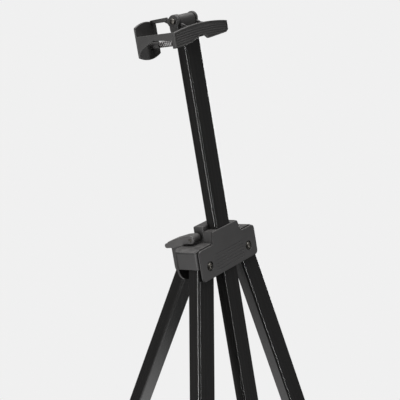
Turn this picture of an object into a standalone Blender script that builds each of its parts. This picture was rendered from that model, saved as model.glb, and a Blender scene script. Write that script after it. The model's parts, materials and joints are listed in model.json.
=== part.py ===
"""Tripod field easel: a hub with three folding, telescoping legs, a sliding mast with a sprung canvas clamp
on top and a canvas ledge below. Lengths are in millimetres until they reach a mesh, and +Z is up.

The head leans back, so the hub, mast, clamp and ledge are laid out in their own frame: x to the painter's
right, y towards the rear leg and z up the mast, from the middle of the front plate's lower front edge.
A leg's own frame has its origin on the fold axis, with z up the leg and y towards the back.
"""

import math

import bmesh
import bpy
from mathutils import Matrix, Vector

MM = 0.001
GAP = 0.3
CORNER_STEPS = 3
SHARP_ANGLE = math.radians(35.0)
SOFT_ANGLE = math.radians(40.0)

# Stance
HEAD_TILT = math.radians(11.25)
HEAD_HEIGHT = 1085.0
HEAD_SETBACK = -137.4
FRONT_SPLAY = math.radians(14.8)
REAR_SPLAY = math.radians(32.5)

# Tubes: outer width across the object, depth, wall and corner radius
TUBE_WALL = 1.2
MAST_WIDTH = 26.6
MAST_DEPTH = 12.8
MAST_CORNER = 2.0
LEG_WIDTH = 28.5
LEG_DEPTH = 15.2
LEG_CORNER = 2.6
LOWER_WIDTH = 24.5
LOWER_DEPTH = 11.4
LOWER_WALL = 1.1
LOWER_CORNER = 2.2
PLUG_CORNER = 1.2

# Hub
HUB_HALF_WIDTH = 53.8
PLATE_THICKNESS = 2.4
BAND_TOP = 35.4
HUMP_TOP = 49.0
HUMP_HALF_BASE = 27.5
HUMP_HALF_TOP = 23.5
BODY_FRONT = PLATE_THICKNESS + GAP
BODY_BACK = 34.7
BODY_BOTTOM = 14.7
BODY_TOP = 36.5
BLOCK_BACK = 27.0
BLOCK_TOP = 54.5
POCKET_TOP = 31.5
POCKET_BACK = 20.6
WEB_BACK = 24.0
WEB_LOBE_RADIUS = 8.0
BACK_WALL_FRONT = 32.0
BACK_LOBE_RADIUS = 15.6

# Front leg pivots, rear leg pivot
FRONT_PIVOT_X = 37.7
FRONT_PIVOT_Y = 12.7
FRONT_PIVOT_Z = 14.3
REAR_PIVOT_Y = 52.0
REAR_PIVOT_Z = 14.3
BOLT_RADIUS = 2.4
BOLT_HEAD_RADIUS = 4.2
NUT_ACROSS = 8.0
NUT_HEIGHT = 4.0
EAR_INNER = 15.0
EAR_OUTER = 18.8
EAR_BACK = 67.0
EAR_BOTTOM = -3.0

# Mast and its cam lock
MAST_FRONT = 2.7
MAST_BACK = MAST_FRONT + MAST_DEPTH
MAST_BOTTOM = -480.0
MAST_TOP = 266.0
CAM_Y = 21.9
CAM_Z = 43.3
CAM_SHAFT_RADIUS = 2.0
CAM_LOBE_RADIUS = 2.6
CAM_THROW = 0.8

# Canvas clamp
CLAMP_HALF_WIDTH = 15.6
CLAMP_BOTTOM = 258.0
CLAMP_TOP = 272.0
CLAMP_FRONT = -3.0
CLAMP_BACK = 19.0
CLAMP_PIN_Y = 9.0
CLAMP_PIN_Z = 279.0
CLAMP_PIN_RADIUS = 1.8
KNUCKLE_RADIUS = 6.0
KNUCKLE_HALF_WIDTH = 11.6
JAW_HALF_WIDTH = 47.6
JAW_FRONT = -12.0
JAW_BACK = -8.6
JAW_BOTTOM = 253.9
LOOP_LEFT = -46.6
LOOP_RIGHT = -10.7
LOOP_BACK = 42.2
LOOP_WALL = 2.8
LOOP_TOP = 279.0
LOOP_BOTTOM = 247.0
LOOP_BOW = 4.2
ARM_THICKNESS = 2.8
BOSS_FRONT = 28.5
BOSS_RADIUS = 3.4
SEAT_FRONT = 3.0
SEAT_BACK = 7.0
SPRING_X = -24.0
SPRING_Z = 257.0
SPRING_RADIUS = 2.7
SPRING_WIRE = 0.7
SPRING_TURNS = 8

# Canvas ledge
LEDGE_Z = -330.0
LEDGE_HALF_WIDTH = 95.0
LEDGE_REACH = -32.0
LEDGE_KNOB_Z = LEDGE_Z - 17.0
LEDGE_KNOB_RADIUS = 10.0

# Legs
UPPER_TOP = 12.0
UPPER_BOTTOM = -600.0
LOWER_LENGTH = 620.0
FOOT_WIDTH = 30.4
FOOT_DEPTH = 17.4
FOOT_HEIGHT = 34.0
FOOT_SOLE = 11.0
COLLAR_WIDTH = 34.1
COLLAR_DEPTH = 20.8
COLLAR_TOP = -572.0
COLLAR_BOTTOM = -622.0
LOCK_Y = 14.7
LOCK_Z = -612.0
LOCK_PIN_RADIUS = 1.5

COLOURS = {
    "tube_black": ((0.012, 0.012, 0.013), 0.28, 0.85),
    "hub_plastic": ((0.040, 0.040, 0.041), 0.55, 0.0),
    "clamp_plastic": ((0.034, 0.032, 0.032), 0.60, 0.0),
    "lever_plastic": ((0.050, 0.048, 0.048), 0.45, 0.0),
    "black_rubber": ((0.020, 0.020, 0.020), 0.85, 0.0),
    "dark_steel": ((0.110, 0.105, 0.095), 0.30, 1.0),
    "spring_steel": ((0.450, 0.440, 0.430), 0.28, 1.0),
}


# Scene, materials and frames


def clear_scene():
    for obj in list(bpy.data.objects):
        bpy.data.objects.remove(obj, do_unlink=True)


def make_materials():
    made = {}
    for name, (colour, roughness, metallic) in COLOURS.items():
        material = bpy.data.materials.new(name)
        material.use_nodes = True
        shader = material.node_tree.nodes["Principled BSDF"]
        shader.inputs["Base Color"].default_value = (*colour, 1.0)
        shader.inputs["Roughness"].default_value = roughness
        shader.inputs["Metallic"].default_value = metallic
        made[name] = material
    return made


def add_frame(name, place, rotation=(0.0, 0.0, 0.0), parent=None):
    """An empty at a place in millimetres in its parent's frame."""
    empty = bpy.data.objects.new(name, None)
    empty.location = Vector(place) * MM
    empty.rotation_euler = rotation
    empty.parent = parent
    bpy.context.scene.collection.objects.link(empty)
    return empty


# Outlines


def arc(centre, radius, start, end, steps):
    """Points on an arc, with angles in degrees."""
    points = []
    for step in range(steps + 1):
        angle = math.radians(start + (end - start) * step / steps)
        points.append((centre[0] + radius * math.cos(angle), centre[1] + radius * math.sin(angle)))
    return points


def rounded_box(width, depth, corner, centre=(0.0, 0.0)):
    """A rectangle's outline with round corners, anticlockwise."""
    half_x = width / 2 - corner
    half_y = depth / 2 - corner
    points = []
    for index, (side_x, side_y) in enumerate(((1, 1), (-1, 1), (-1, -1), (1, -1))):
        middle = (centre[0] + side_x * half_x, centre[1] + side_y * half_y)
        points += arc(middle, corner, 90 * index, 90 * index + 90, CORNER_STEPS)
    return points


# Solids


def place_points(outline, level, axis):
    """Outline points as 3-D points: (y, z) across an X axis, (x, z) across Y, (x, y) across Z."""
    if axis == "X":
        return [Vector((level, a, b)) for a, b in outline]
    if axis == "Y":
        return [Vector((a, level, b)) for a, b in outline]
    return [Vector((a, b, level)) for a, b in outline]


def join_rings(rings, closed=False):
    """A mesh through rings of equally many points: capped at its ends, or closed on itself."""
    mesh = bmesh.new()
    loops = [[mesh.verts.new(point * MM) for point in ring] for ring in rings]
    count = len(rings[0])
    pairs = list(zip(loops, loops[1:]))
    if closed:
        pairs.append((loops[-1], loops[0]))
    for low, high in pairs:
        for index in range(count):
            after = (index + 1) % count
            mesh.faces.new((low[index], low[after], high[after], high[index]))
    if not closed:
        mesh.faces.new(list(reversed(loops[0])))
        mesh.faces.new(loops[-1])
    bmesh.ops.recalc_face_normals(mesh, faces=mesh.faces)
    return mesh


def prism(outline, low, high, axis):
    return join_rings([place_points(outline, low, axis), place_points(outline, high, axis)])


def box(low, high):
    outline = [(low[0], low[1]), (high[0], low[1]), (high[0], high[1]), (low[0], high[1])]
    return prism(outline, low[2], high[2], "Z")


def turned(profile, centre, axis, sides=20):
    """A turned solid about an axis through centre, from (radius, level) pairs along it."""
    rings = []
    for radius, level in profile:
        outline = [
            (
                centre[0] + radius * math.cos(2 * math.pi * side / sides),
                centre[1] + radius * math.sin(2 * math.pi * side / sides),
            )
            for side in range(sides)
        ]
        rings.append(place_points(outline, level, axis))
    return join_rings(rings)


def rod(radius, centre, low, high, axis, sides=20):
    return turned([(radius, low), (radius, high)], centre, axis, sides)


def sections(steps):
    """Rings of rounded boxes up z, from (level, width, depth, corner) steps."""
    return [place_points(rounded_box(width, depth, corner), level, "Z") for level, width, depth, corner in steps]


def link_object(name, mesh, material, parent):
    data = bpy.data.meshes.new(name)
    mesh.to_mesh(data)
    mesh.free()
    data.materials.append(material)
    data.shade_smooth()
    data.set_sharp_from_angle(angle=SHARP_ANGLE)
    obj = bpy.data.objects.new(name, data)
    obj.parent = parent
    bpy.context.scene.collection.objects.link(obj)
    return obj


def boolean(target, mesh, operation, label):
    """Adds one Boolean step, whose helper solid sits in the target's own frame."""
    helper = link_object(target.name + "_" + label, mesh, target.active_material, target.parent)
    helper.hide_render = True
    helper.display_type = "WIRE"
    helper.location = target.location
    modifier = target.modifiers.new(label, "BOOLEAN")
    modifier.operation = operation
    modifier.solver = "EXACT"
    modifier.object = helper


def soften(target, width):
    modifier = target.modifiers.new("soft_edges", "BEVEL")
    modifier.width = width * MM
    modifier.segments = 2
    modifier.limit_method = "ANGLE"
    modifier.angle_limit = SOFT_ANGLE
    modifier.use_clamp_overlap = True


def add_part(name, mesh, material, parent, add=(), cut=(), soft=None):
    obj = link_object(name, mesh, material, parent)
    if soft:
        soften(obj, soft)
    for index, shape in enumerate(add):
        boolean(obj, shape, "UNION", "add_%d" % index)
    for index, shape in enumerate(cut):
        boolean(obj, shape, "DIFFERENCE", "cut_%d" % index)
    return obj


# Hub


def hump_outline(half_base, half_top, base, top):
    return [(-half_base, base), (half_base, base), (half_top, top), (-half_top, top)]


def plate_outline():
    corner = 5.0
    right = HUB_HALF_WIDTH - corner
    points = arc((-right, corner), corner, 180, 270, 4)
    points += arc((right, corner), corner, 270, 360, 4)
    points += arc((right, BAND_TOP - corner), corner, 0, 90, 4)
    points += [(HUMP_HALF_BASE, BAND_TOP), (HUMP_HALF_TOP, HUMP_TOP)]
    points += [(-HUMP_HALF_TOP, HUMP_TOP), (-HUMP_HALF_BASE, BAND_TOP)]
    points += arc((-right, BAND_TOP - corner), corner, 90, 180, 4)
    return points


def make_front_plate(head, paint):
    cuts = []
    for side in (-1, 1):
        centre = (side * FRONT_PIVOT_X, FRONT_PIVOT_Z)
        profile = [(5.4, -1.0), (5.0, 1.5), (BOLT_RADIUS + GAP, 1.5), (BOLT_RADIUS + GAP, 4.0)]
        cuts.append(turned(profile, centre, "Y"))
    plate = prism(plate_outline(), 0.0, PLATE_THICKNESS, "Y")
    add_part("front_plate", plate, paint["hub_plastic"], head, cut=cuts, soft=0.8)


def ear_outline():
    """Side view of a rear leg ear: a cheek behind the body, square above and round below."""
    points = [(BODY_BACK - 2.0, BODY_TOP - 1.5), (EAR_BACK - 9.0, BODY_TOP - 3.0)]
    points += arc((EAR_BACK - 4.0, BODY_TOP - 9.5), 4.0, 75, 0, 4)
    points += arc((EAR_BACK - 8.0, EAR_BOTTOM + 8.0), 8.0, 0, -90, 6)
    points += [(EAR_BACK - 21.0, EAR_BOTTOM), (BODY_BACK - 2.0, 10.0)]
    return points


def leg_pocket(side):
    """The space that a front leg swings in, open downwards."""
    slope = math.tan(FRONT_SPLAY)
    inner = 18.0
    outer = HUB_HALF_WIDTH - 1.3
    flare_top = BODY_BOTTOM + 0.3
    low = BODY_BOTTOM - 2.0
    outline = [
        (inner, low),
        (outer + slope * (flare_top - low), low),
        (outer, flare_top),
        (outer, POCKET_TOP),
        (inner, POCKET_TOP),
    ]
    outline = [(side * x, z) for x, z in outline]
    return prism(outline, BODY_FRONT - 2.0, POCKET_BACK, "Y")


def make_hub_body(head, paint):
    shoulder_drop = 2.0
    shoulder_width = 6.0
    end_wall = 3.8
    outline = [
        (-HUB_HALF_WIDTH, BODY_BOTTOM),
        (HUB_HALF_WIDTH, BODY_BOTTOM),
        (HUB_HALF_WIDTH, BODY_TOP - shoulder_drop),
        (HUB_HALF_WIDTH - shoulder_width, BODY_TOP),
        (shoulder_width - HUB_HALF_WIDTH, BODY_TOP),
        (-HUB_HALF_WIDTH, BODY_TOP - shoulder_drop),
    ]
    hump = hump_outline(HUMP_HALF_BASE - GAP, HUMP_HALF_TOP - GAP, BAND_TOP - 2.0, HUMP_TOP)
    hump_back = MAST_FRONT + 11.0
    bolt_hole = BOLT_RADIUS + GAP
    half_channel = MAST_WIDTH / 2 + 0.4
    cavity_half = HUB_HALF_WIDTH - end_wall
    block = box((-23.5, hump_back - 1.0, BODY_TOP - 2.0), (24.0, BLOCK_BACK, BLOCK_TOP))
    added = [prism(hump, BODY_FRONT, hump_back, "Y"), block]
    cuts = [
        box((-half_channel, BODY_FRONT - 2.0, 0.0), (half_channel, MAST_BACK + 0.5, BLOCK_TOP + 5.0)),
        box((-10.0, MAST_BACK - 1.0, 37.2), (10.0, BLOCK_BACK - 2.0, 51.0)),
        rod(CAM_SHAFT_RADIUS + GAP, (CAM_Y, CAM_Z), -40.0, 15.0, "X"),
        box((-cavity_half, WEB_BACK, EAR_BOTTOM), (cavity_half, BACK_WALL_FRONT, POCKET_TOP)),
        rod(bolt_hole, (REAR_PIVOT_Y, REAR_PIVOT_Z), -30.0, 30.0, "X"),
    ]
    for side in (-1, 1):
        pivot = (side * FRONT_PIVOT_X, FRONT_PIVOT_Z)
        added.append(prism(ear_outline(), side * EAR_INNER, side * EAR_OUTER, "X"))
        added.append(rod(WEB_LOBE_RADIUS, pivot, POCKET_BACK, WEB_BACK, "Y"))
        added.append(rod(BACK_LOBE_RADIUS, pivot, BACK_WALL_FRONT, BODY_BACK, "Y", 32))
        cuts.append(leg_pocket(side))
        cuts.append(rod(bolt_hole, pivot, 10.0, BODY_BACK + 5.0, "Y"))
    body = prism(outline, BODY_FRONT, BODY_BACK, "Y")
    add_part("hub_body", body, paint["hub_plastic"], head, add=added, cut=cuts, soft=0.8)


def hexagon(centre, across):
    return arc(centre, across / math.sqrt(3.0), 0.0, 300.0, 5)


def make_nut(name, centre, start, axis, head, paint):
    nut = prism(hexagon(centre, NUT_ACROSS), start, start + NUT_HEIGHT, axis)
    hole = rod(BOLT_RADIUS + GAP, centre, start - 1.0, start + NUT_HEIGHT + 1.0, axis)
    add_part(name, nut, paint["dark_steel"], head, cut=[hole])


def make_pivot_hardware(head, paint):
    nut_start = BODY_BACK + GAP
    for name, side in (("left", -1), ("right", 1)):
        centre = (side * FRONT_PIVOT_X, FRONT_PIVOT_Z)
        dome = [(1.3, -1.4), (2.9, -1.0), (3.9, -0.2), (BOLT_HEAD_RADIUS, 1.2)]
        shank = [(BOLT_RADIUS, 1.2), (BOLT_RADIUS, nut_start + NUT_HEIGHT + 1.0)]
        bolt = turned(dome + shank, centre, "Y")
        socket = prism(hexagon(centre, 2.2), -3.0, 0.2, "Y")
        add_part(name + "_pivot_bolt", bolt, paint["dark_steel"], head, cut=[socket])
        make_nut(name + "_pivot_nut", centre, nut_start, "Y", head, paint)
    centre = (REAR_PIVOT_Y, REAR_PIVOT_Z)
    head_end = -EAR_OUTER - GAP
    profile = [
        (2.4, head_end - 2.6),
        (BOLT_HEAD_RADIUS, head_end - 1.2),
        (BOLT_HEAD_RADIUS, head_end),
        (BOLT_RADIUS, head_end),
        (BOLT_RADIUS, EAR_OUTER + NUT_HEIGHT + 1.3),
    ]
    add_part("rear_pivot_bolt", turned(profile, centre, "X"), paint["dark_steel"], head)
    make_nut("rear_pivot_nut", centre, EAR_OUTER + GAP, "X", head, paint)


def lever_outline():
    """The cam lever's side view about its shaft: a round head and a blade that droops to the back."""
    points = arc((0.0, 0.0), 5.0, 75, 285, 12)
    points += [(9.0, -5.4), (27.0, -9.8)]
    points += arc((35.4, -7.6), 2.8, -90, 80, 5)
    points += [(22.0, 0.6), (9.0, 4.0)]
    return points


def make_mast_lock(head, paint):
    shaft_frame = add_frame("cam_shaft_axis", (0.0, CAM_Y, CAM_Z), parent=head)
    bore = rod(CAM_SHAFT_RADIUS + GAP, (0.0, 0.0), -40.0, -20.0, "X")
    lever = prism(lever_outline(), -38.0, -24.6, "X")
    add_part("cam_lever", lever, paint["lever_plastic"], shaft_frame, cut=[bore], soft=0.6)
    lobe = turned([(CAM_LOBE_RADIUS, -8.0), (CAM_LOBE_RADIUS, 8.0)], (-CAM_THROW, 0.0), "X")
    shaft = rod(CAM_SHAFT_RADIUS, (0.0, 0.0), -37.4, 14.0, "X")
    add_part("cam_shaft", shaft, paint["dark_steel"], shaft_frame, add=[lobe])
    shoe = box((-7.0, MAST_BACK + GAP, 38.0), (7.0, CAM_Y - CAM_THROW - CAM_LOBE_RADIUS - GAP, 49.0))
    add_part("pressure_shoe", shoe, paint["hub_plastic"], head)


# Mast and clamp


def tube_rings(width, depth, wall, corner, low, high):
    inner = (width - 2 * wall, depth - 2 * wall, corner - wall / 2)
    return sections([(low, width, depth, corner), (high, width, depth, corner), (high, *inner), (low, *inner)])


def make_mast(head, paint):
    middle = add_frame("mast_axis", (0.0, MAST_FRONT + MAST_DEPTH / 2, 0.0), parent=head)
    rings = tube_rings(MAST_WIDTH, MAST_DEPTH, TUBE_WALL, MAST_CORNER, MAST_BOTTOM, MAST_TOP)
    add_part("mast_tube", join_rings(rings, closed=True), paint["tube_black"], middle)
    insert = (MAST_WIDTH - 2 * TUBE_WALL - 2 * GAP, MAST_DEPTH - 2 * TUBE_WALL - 2 * GAP, PLUG_CORNER)
    steps = [
        (MAST_BOTTOM - 4.0, MAST_WIDTH - 2.4, MAST_DEPTH - 2.4, MAST_CORNER),
        (MAST_BOTTOM - 2.5, MAST_WIDTH, MAST_DEPTH, MAST_CORNER),
        (MAST_BOTTOM - GAP, MAST_WIDTH, MAST_DEPTH, MAST_CORNER),
        (MAST_BOTTOM - GAP, *insert),
        (MAST_BOTTOM + 18.0, *insert),
    ]
    add_part("mast_bottom_plug", join_rings(sections(steps)), paint["hub_plastic"], middle)


def make_clamp_body(head, paint):
    """The socket on the mast's top end, with the pin's knuckle above it and the spring's seat beside it."""
    centre_y = (CLAMP_FRONT + CLAMP_BACK) / 2
    outline = rounded_box(2 * CLAMP_HALF_WIDTH, CLAMP_BACK - CLAMP_FRONT, 2.4, (0.0, centre_y))
    knuckle = [(CLAMP_PIN_Y - KNUCKLE_RADIUS, CLAMP_TOP - 2.0)]
    knuckle += arc((CLAMP_PIN_Y, CLAMP_PIN_Z), KNUCKLE_RADIUS, 180, 0, 10)
    knuckle += [(CLAMP_PIN_Y + KNUCKLE_RADIUS, CLAMP_TOP - 2.0)]
    added = [
        prism(knuckle[::-1], -KNUCKLE_HALF_WIDTH, KNUCKLE_HALF_WIDTH, "X"),
        box((-30.5, SEAT_FRONT, 251.6), (1.0 - CLAMP_HALF_WIDTH, SEAT_BACK, 262.2)),
    ]
    half_width = MAST_WIDTH / 2 + GAP
    cuts = [
        box((-half_width, MAST_FRONT - GAP, 240.0), (half_width, MAST_BACK + GAP, MAST_TOP + GAP)),
        rod(CLAMP_PIN_RADIUS + GAP, (CLAMP_PIN_Y, CLAMP_PIN_Z), -20.0, 20.0, "X"),
    ]
    body = prism(outline, CLAMP_BOTTOM, CLAMP_TOP, "Z")
    add_part("clamp_body", body, paint["clamp_plastic"], head, add=added, cut=cuts)


def jaw_outline():
    """Front view of the jaw: a gently bowed top and a finger notch that rises under its middle."""
    top_rise = 4.0
    ends = 269.4
    steps = 12
    points = []
    for step in range(steps + 1):
        x = JAW_HALF_WIDTH - 2 * JAW_HALF_WIDTH * step / steps
        points.append((x, ends + top_rise * (1 - (x / JAW_HALF_WIDTH) ** 2)))
    points += [(-JAW_HALF_WIDTH, JAW_BOTTOM), (-29.0, JAW_BOTTOM + 0.3), (-20.0, 255.2), (-13.4, 256.8)]
    points += [(-8.0, 258.9), (-4.0, 260.4), (-0.5, 261.0), (3.5, 260.2), (7.0, 258.0), (9.5, 255.9)]
    points += [(11.0, 255.4), (JAW_HALF_WIDTH - 4.0, 257.0), (JAW_HALF_WIDTH, 259.5)]
    return points


def about_pin(outline):
    """Head-frame (y, z) points moved to the clamp pin's frame."""
    return [(y - CLAMP_PIN_Y, z - CLAMP_PIN_Z) for y, z in outline]


def jaw_ear_outline():
    """Side view of the ears that carry the jaw on the pin."""
    points = arc((CLAMP_PIN_Y, CLAMP_PIN_Z), 6.9, -50, 150, 12)
    points += [(JAW_BACK + 3.0, 273.5), (JAW_BACK - 1.0, 271.5), (JAW_BACK - 1.0, 263.0)]
    points += [(CLAMP_FRONT - 0.8, 263.0), (CLAMP_FRONT - 0.8, 272.6), (CLAMP_PIN_Y, 272.6)]
    return points


def make_jaw(pin_frame, paint):
    ears = [prism(about_pin(jaw_ear_outline()), side * 12.0, side * 15.4, "X") for side in (-1, 1)]
    front = [(x, z - CLAMP_PIN_Z) for x, z in jaw_outline()]
    pin_hole = rod(CLAMP_PIN_RADIUS + GAP, (0.0, 0.0), -25.0, 25.0, "X")
    jaw = prism(front, JAW_FRONT - CLAMP_PIN_Y, JAW_BACK - CLAMP_PIN_Y, "Y")
    add_part("front_jaw", jaw, paint["clamp_plastic"], pin_frame, add=ears, cut=[pin_hole], soft=0.9)
    pad_half = 11.4
    pad_low = (-pad_half, JAW_BACK + GAP - CLAMP_PIN_Y, 262.6 - CLAMP_PIN_Z)
    pad_high = (pad_half, CLAMP_FRONT - GAP - CLAMP_PIN_Y, 271.0 - CLAMP_PIN_Z)
    add_part("jaw_pad", box(pad_low, pad_high), paint["black_rubber"], pin_frame)


def loop_wall_outline():
    """Back view of the squeeze plate: a bowed top and a round tongue hanging below."""
    middle = (LOOP_LEFT + LOOP_RIGHT) / 2
    half = (LOOP_RIGHT - LOOP_LEFT) / 2
    steps = 8
    shares = [1 - 2 * step / steps for step in range(steps + 1)]
    points = [(middle + half * share, LOOP_TOP + LOOP_BOW * (1 - share**2)) for share in shares]
    points += [(middle - half * share, LOOP_BOTTOM - LOOP_BOW * (1 - share**2)) for share in shares]
    return points


def make_loop(pin_frame, paint):
    """The squeeze plate behind the mast, with the arms that tie it to the jaw and to the pin."""
    inside = LOOP_BACK - LOOP_WALL
    arm = [(JAW_BACK + GAP, 261.0), (19.0, 263.6), (36.0, 255.4), (inside + 1.0, 248.2)]
    arm += [(inside + 1.0, 269.4), (JAW_BACK + GAP, 269.6)]
    top_bar = [(18.0, 279.6), (inside + 1.0, 279.4), (inside + 1.0, 283.2), (18.0, 284.2)]
    bracket = arc((CLAMP_PIN_Y, CLAMP_PIN_Z), 7.0, 30, 220, 12)
    bracket += [(5.0, 268.2), (15.6, 268.2), (15.6, 274.4), (21.5, 279.4), (24.0, 284.0)]
    boss_centre = (SPRING_X, SPRING_Z - CLAMP_PIN_Z)
    boss = rod(BOSS_RADIUS, boss_centre, BOSS_FRONT - CLAMP_PIN_Y, inside + 1.0 - CLAMP_PIN_Y, "Y")
    added = [
        prism(about_pin(arm), LOOP_LEFT, LOOP_LEFT + ARM_THICKNESS, "X"),
        prism(about_pin(top_bar), -20.4, -16.0, "X"),
        prism(about_pin(bracket), -19.4, -15.8, "X"),
        boss,
    ]
    cuts = [rod(CLAMP_PIN_RADIUS + GAP, (0.0, 0.0), -25.0, 25.0, "X")]
    wall = [(x, z - CLAMP_PIN_Z) for x, z in loop_wall_outline()]
    plate = prism(wall, inside - CLAMP_PIN_Y, LOOP_BACK - CLAMP_PIN_Y, "Y")
    add_part("jaw_loop", plate, paint["clamp_plastic"], pin_frame, add=added, cut=cuts)


def coil_rings(radius, wire, low, high, turns, per_turn=10, sides=6):
    """Rings of a helix along y about its own axis."""
    rings = []
    total = turns * per_turn
    pitch = (high - low) / turns
    for step in range(total + 1):
        angle = 2 * math.pi * step / per_turn
        outward = Vector((math.cos(angle), 0.0, math.sin(angle)))
        forward = Vector((-radius * math.sin(angle), pitch / (2 * math.pi), radius * math.cos(angle)))
        across = outward.cross(forward.normalized())
        middle = outward * radius + Vector((0.0, low + (high - low) * step / total, 0.0))
        ring = []
        for side in range(sides):
            turn = 2 * math.pi * side / sides
            ring.append(middle + wire * (math.cos(turn) * outward + math.sin(turn) * across))
        rings.append(ring)
    return rings


def make_clamp(head, paint):
    make_clamp_body(head, paint)
    pin_frame = add_frame("clamp_pin_axis", (0.0, CLAMP_PIN_Y, CLAMP_PIN_Z), parent=head)
    profile = [(2.4, -22.4), (3.4, -21.4), (3.4, -19.7), (CLAMP_PIN_RADIUS, -19.7)]
    profile += [(CLAMP_PIN_RADIUS, 15.7), (3.4, 15.7), (3.4, 17.2), (2.4, 18.2)]
    add_part("clamp_pin", turned(profile, (0.0, 0.0), "X"), paint["dark_steel"], pin_frame)
    make_jaw(pin_frame, paint)
    make_loop(pin_frame, paint)
    spring_frame = add_frame("spring_axis", (SPRING_X, 0.0, SPRING_Z), parent=head)
    spring_low = SEAT_BACK + GAP + SPRING_WIRE
    spring_high = BOSS_FRONT - GAP - SPRING_WIRE
    rings = coil_rings(SPRING_RADIUS, SPRING_WIRE, spring_low, spring_high, SPRING_TURNS)
    add_part("jaw_spring", join_rings(rings), paint["spring_steel"], spring_frame)


# Canvas ledge


def make_ledge(head, paint):
    centre_y = (MAST_FRONT + MAST_BACK) / 2
    collar = rounded_box(MAST_WIDTH + 10.0, MAST_DEPTH + 6.4, 2.6, (0.0, centre_y))
    shelf_bottom = LEDGE_Z - 4.0
    lip = [(LEDGE_REACH, shelf_bottom), (LEDGE_REACH, LEDGE_Z + 11.0)]
    lip += [(LEDGE_REACH + 3.0, LEDGE_Z + 12.0), (LEDGE_REACH + 3.0, LEDGE_Z), (1.0, LEDGE_Z)]
    lip += [(1.0, shelf_bottom)]
    ribs = []
    for x in (-30.0, 30.0):
        rib = [(LEDGE_REACH + 1.0, shelf_bottom + 1.0), (0.9, shelf_bottom + 1.0)]
        rib += [(0.9, shelf_bottom - 7.0), (LEDGE_REACH + 8.0, shelf_bottom - 2.0)]
        ribs.append(prism(rib, x - 1.5, x + 1.5, "X"))
    half_width = MAST_WIDTH / 2 + GAP
    cuts = [
        box((-half_width, MAST_FRONT - GAP, LEDGE_Z - 40.0), (half_width, MAST_BACK + GAP, LEDGE_Z + 40.0)),
        rod(2.4 + GAP, (0.0, LEDGE_KNOB_Z), -3.0, MAST_FRONT, "Y"),
    ]
    body = prism(collar, LEDGE_Z - 27.0, LEDGE_Z + 13.0, "Z")
    shelf = prism(lip, -LEDGE_HALF_WIDTH, LEDGE_HALF_WIDTH, "X")
    add_part("canvas_ledge", body, paint["hub_plastic"], head, add=[shelf, *ribs], cut=cuts)
    pad = box((-90.0, LEDGE_REACH + 3.5, LEDGE_Z + GAP), (90.0, -0.9, LEDGE_Z + 2.0))
    add_part("ledge_pad", pad, paint["black_rubber"], head)
    knob_frame = add_frame("ledge_knob_axis", (0.0, 0.0, LEDGE_KNOB_Z), parent=head)
    lobes = 6
    points = []
    for step in range(36):
        angle = 2 * math.pi * step / 36
        radius = LEDGE_KNOB_RADIUS - 0.9 + 0.9 * math.cos(lobes * angle)
        points.append((radius * math.cos(angle), radius * math.sin(angle)))
    screw = rod(2.4, (0.0, 0.0), -4.0, MAST_FRONT - GAP, "Y")
    knob = prism(points, -14.0, -2.2, "Y")
    add_part("ledge_knob", knob, paint["lever_plastic"], knob_frame, add=[screw], soft=0.7)


# Legs


def floor_ring(outline, leg):
    """An outline in the leg's frame, pushed along the leg until it lies on the floor."""
    matrix = leg.matrix_world
    along = matrix.to_3x3() @ Vector((0.0, 0.0, 1.0))
    ring = []
    for x, y in outline:
        start = matrix @ (Vector((x, y, 0.0)) * MM)
        ring.append(Vector((x, y, -start.z / along.z / MM)))
    return ring


def lever_blade():
    """Side view of a leg lock lever about its pin: a round cam and a flat blade lying up the collar."""
    points = arc((0.0, 0.0), 3.7, 180, 350, 10)
    points += [(3.0, 12.0), (4.2, 36.0)]
    points += arc((2.6, 37.0), 1.6, 0, 180, 4)
    points += [(0.0, 34.0), (-1.2, 12.0), (-3.0, 3.0)]
    return points


def make_lock(name, leg, paint):
    outer = (COLLAR_WIDTH, COLLAR_DEPTH, 4.0)
    large = (LEG_WIDTH + 2 * GAP, LEG_DEPTH + 2 * GAP, LEG_CORNER + GAP)
    small = (LOWER_WIDTH + 2 * GAP, LOWER_DEPTH + 2 * GAP, LOWER_CORNER + GAP)
    seat = UPPER_BOTTOM - GAP
    steps = [
        (COLLAR_TOP, *outer),
        (COLLAR_BOTTOM, *outer),
        (COLLAR_BOTTOM, *small),
        (seat, *small),
        (seat, *large),
        (COLLAR_TOP, *large),
    ]
    lug_root = COLLAR_DEPTH / 2 - 0.9
    lug = [(lug_root, LOCK_Z + 8.0), (lug_root, COLLAR_BOTTOM + 1.0), (LOCK_Y + 1.0, COLLAR_BOTTOM + 1.5)]
    lug += arc((LOCK_Y, LOCK_Z), 4.0, -50, 90, 5)
    lugs = [prism(lug, side * 7.6, side * 10.2, "X") for side in (-1, 1)]
    hole = rod(LOCK_PIN_RADIUS + GAP, (LOCK_Y, LOCK_Z), -20.0, 20.0, "X", 14)
    collar = join_rings(sections(steps), closed=True)
    add_part(name + "_lock_collar", collar, paint["hub_plastic"], leg, add=lugs, cut=[hole])
    pin_frame = add_frame(name + "_lock_axis", (0.0, LOCK_Y, LOCK_Z), parent=leg)
    pin = rod(LOCK_PIN_RADIUS, (0.0, 0.0), -10.6, 10.6, "X", 14)
    add_part(name + "_lock_pin", pin, paint["dark_steel"], pin_frame)
    bore = rod(LOCK_PIN_RADIUS + GAP, (0.0, 0.0), -20.0, 20.0, "X", 14)
    blade = prism(lever_blade(), -7.2, 7.2, "X")
    add_part(name + "_lock_lever", blade, paint["lever_plastic"], pin_frame, cut=[bore], soft=0.5)


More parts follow.
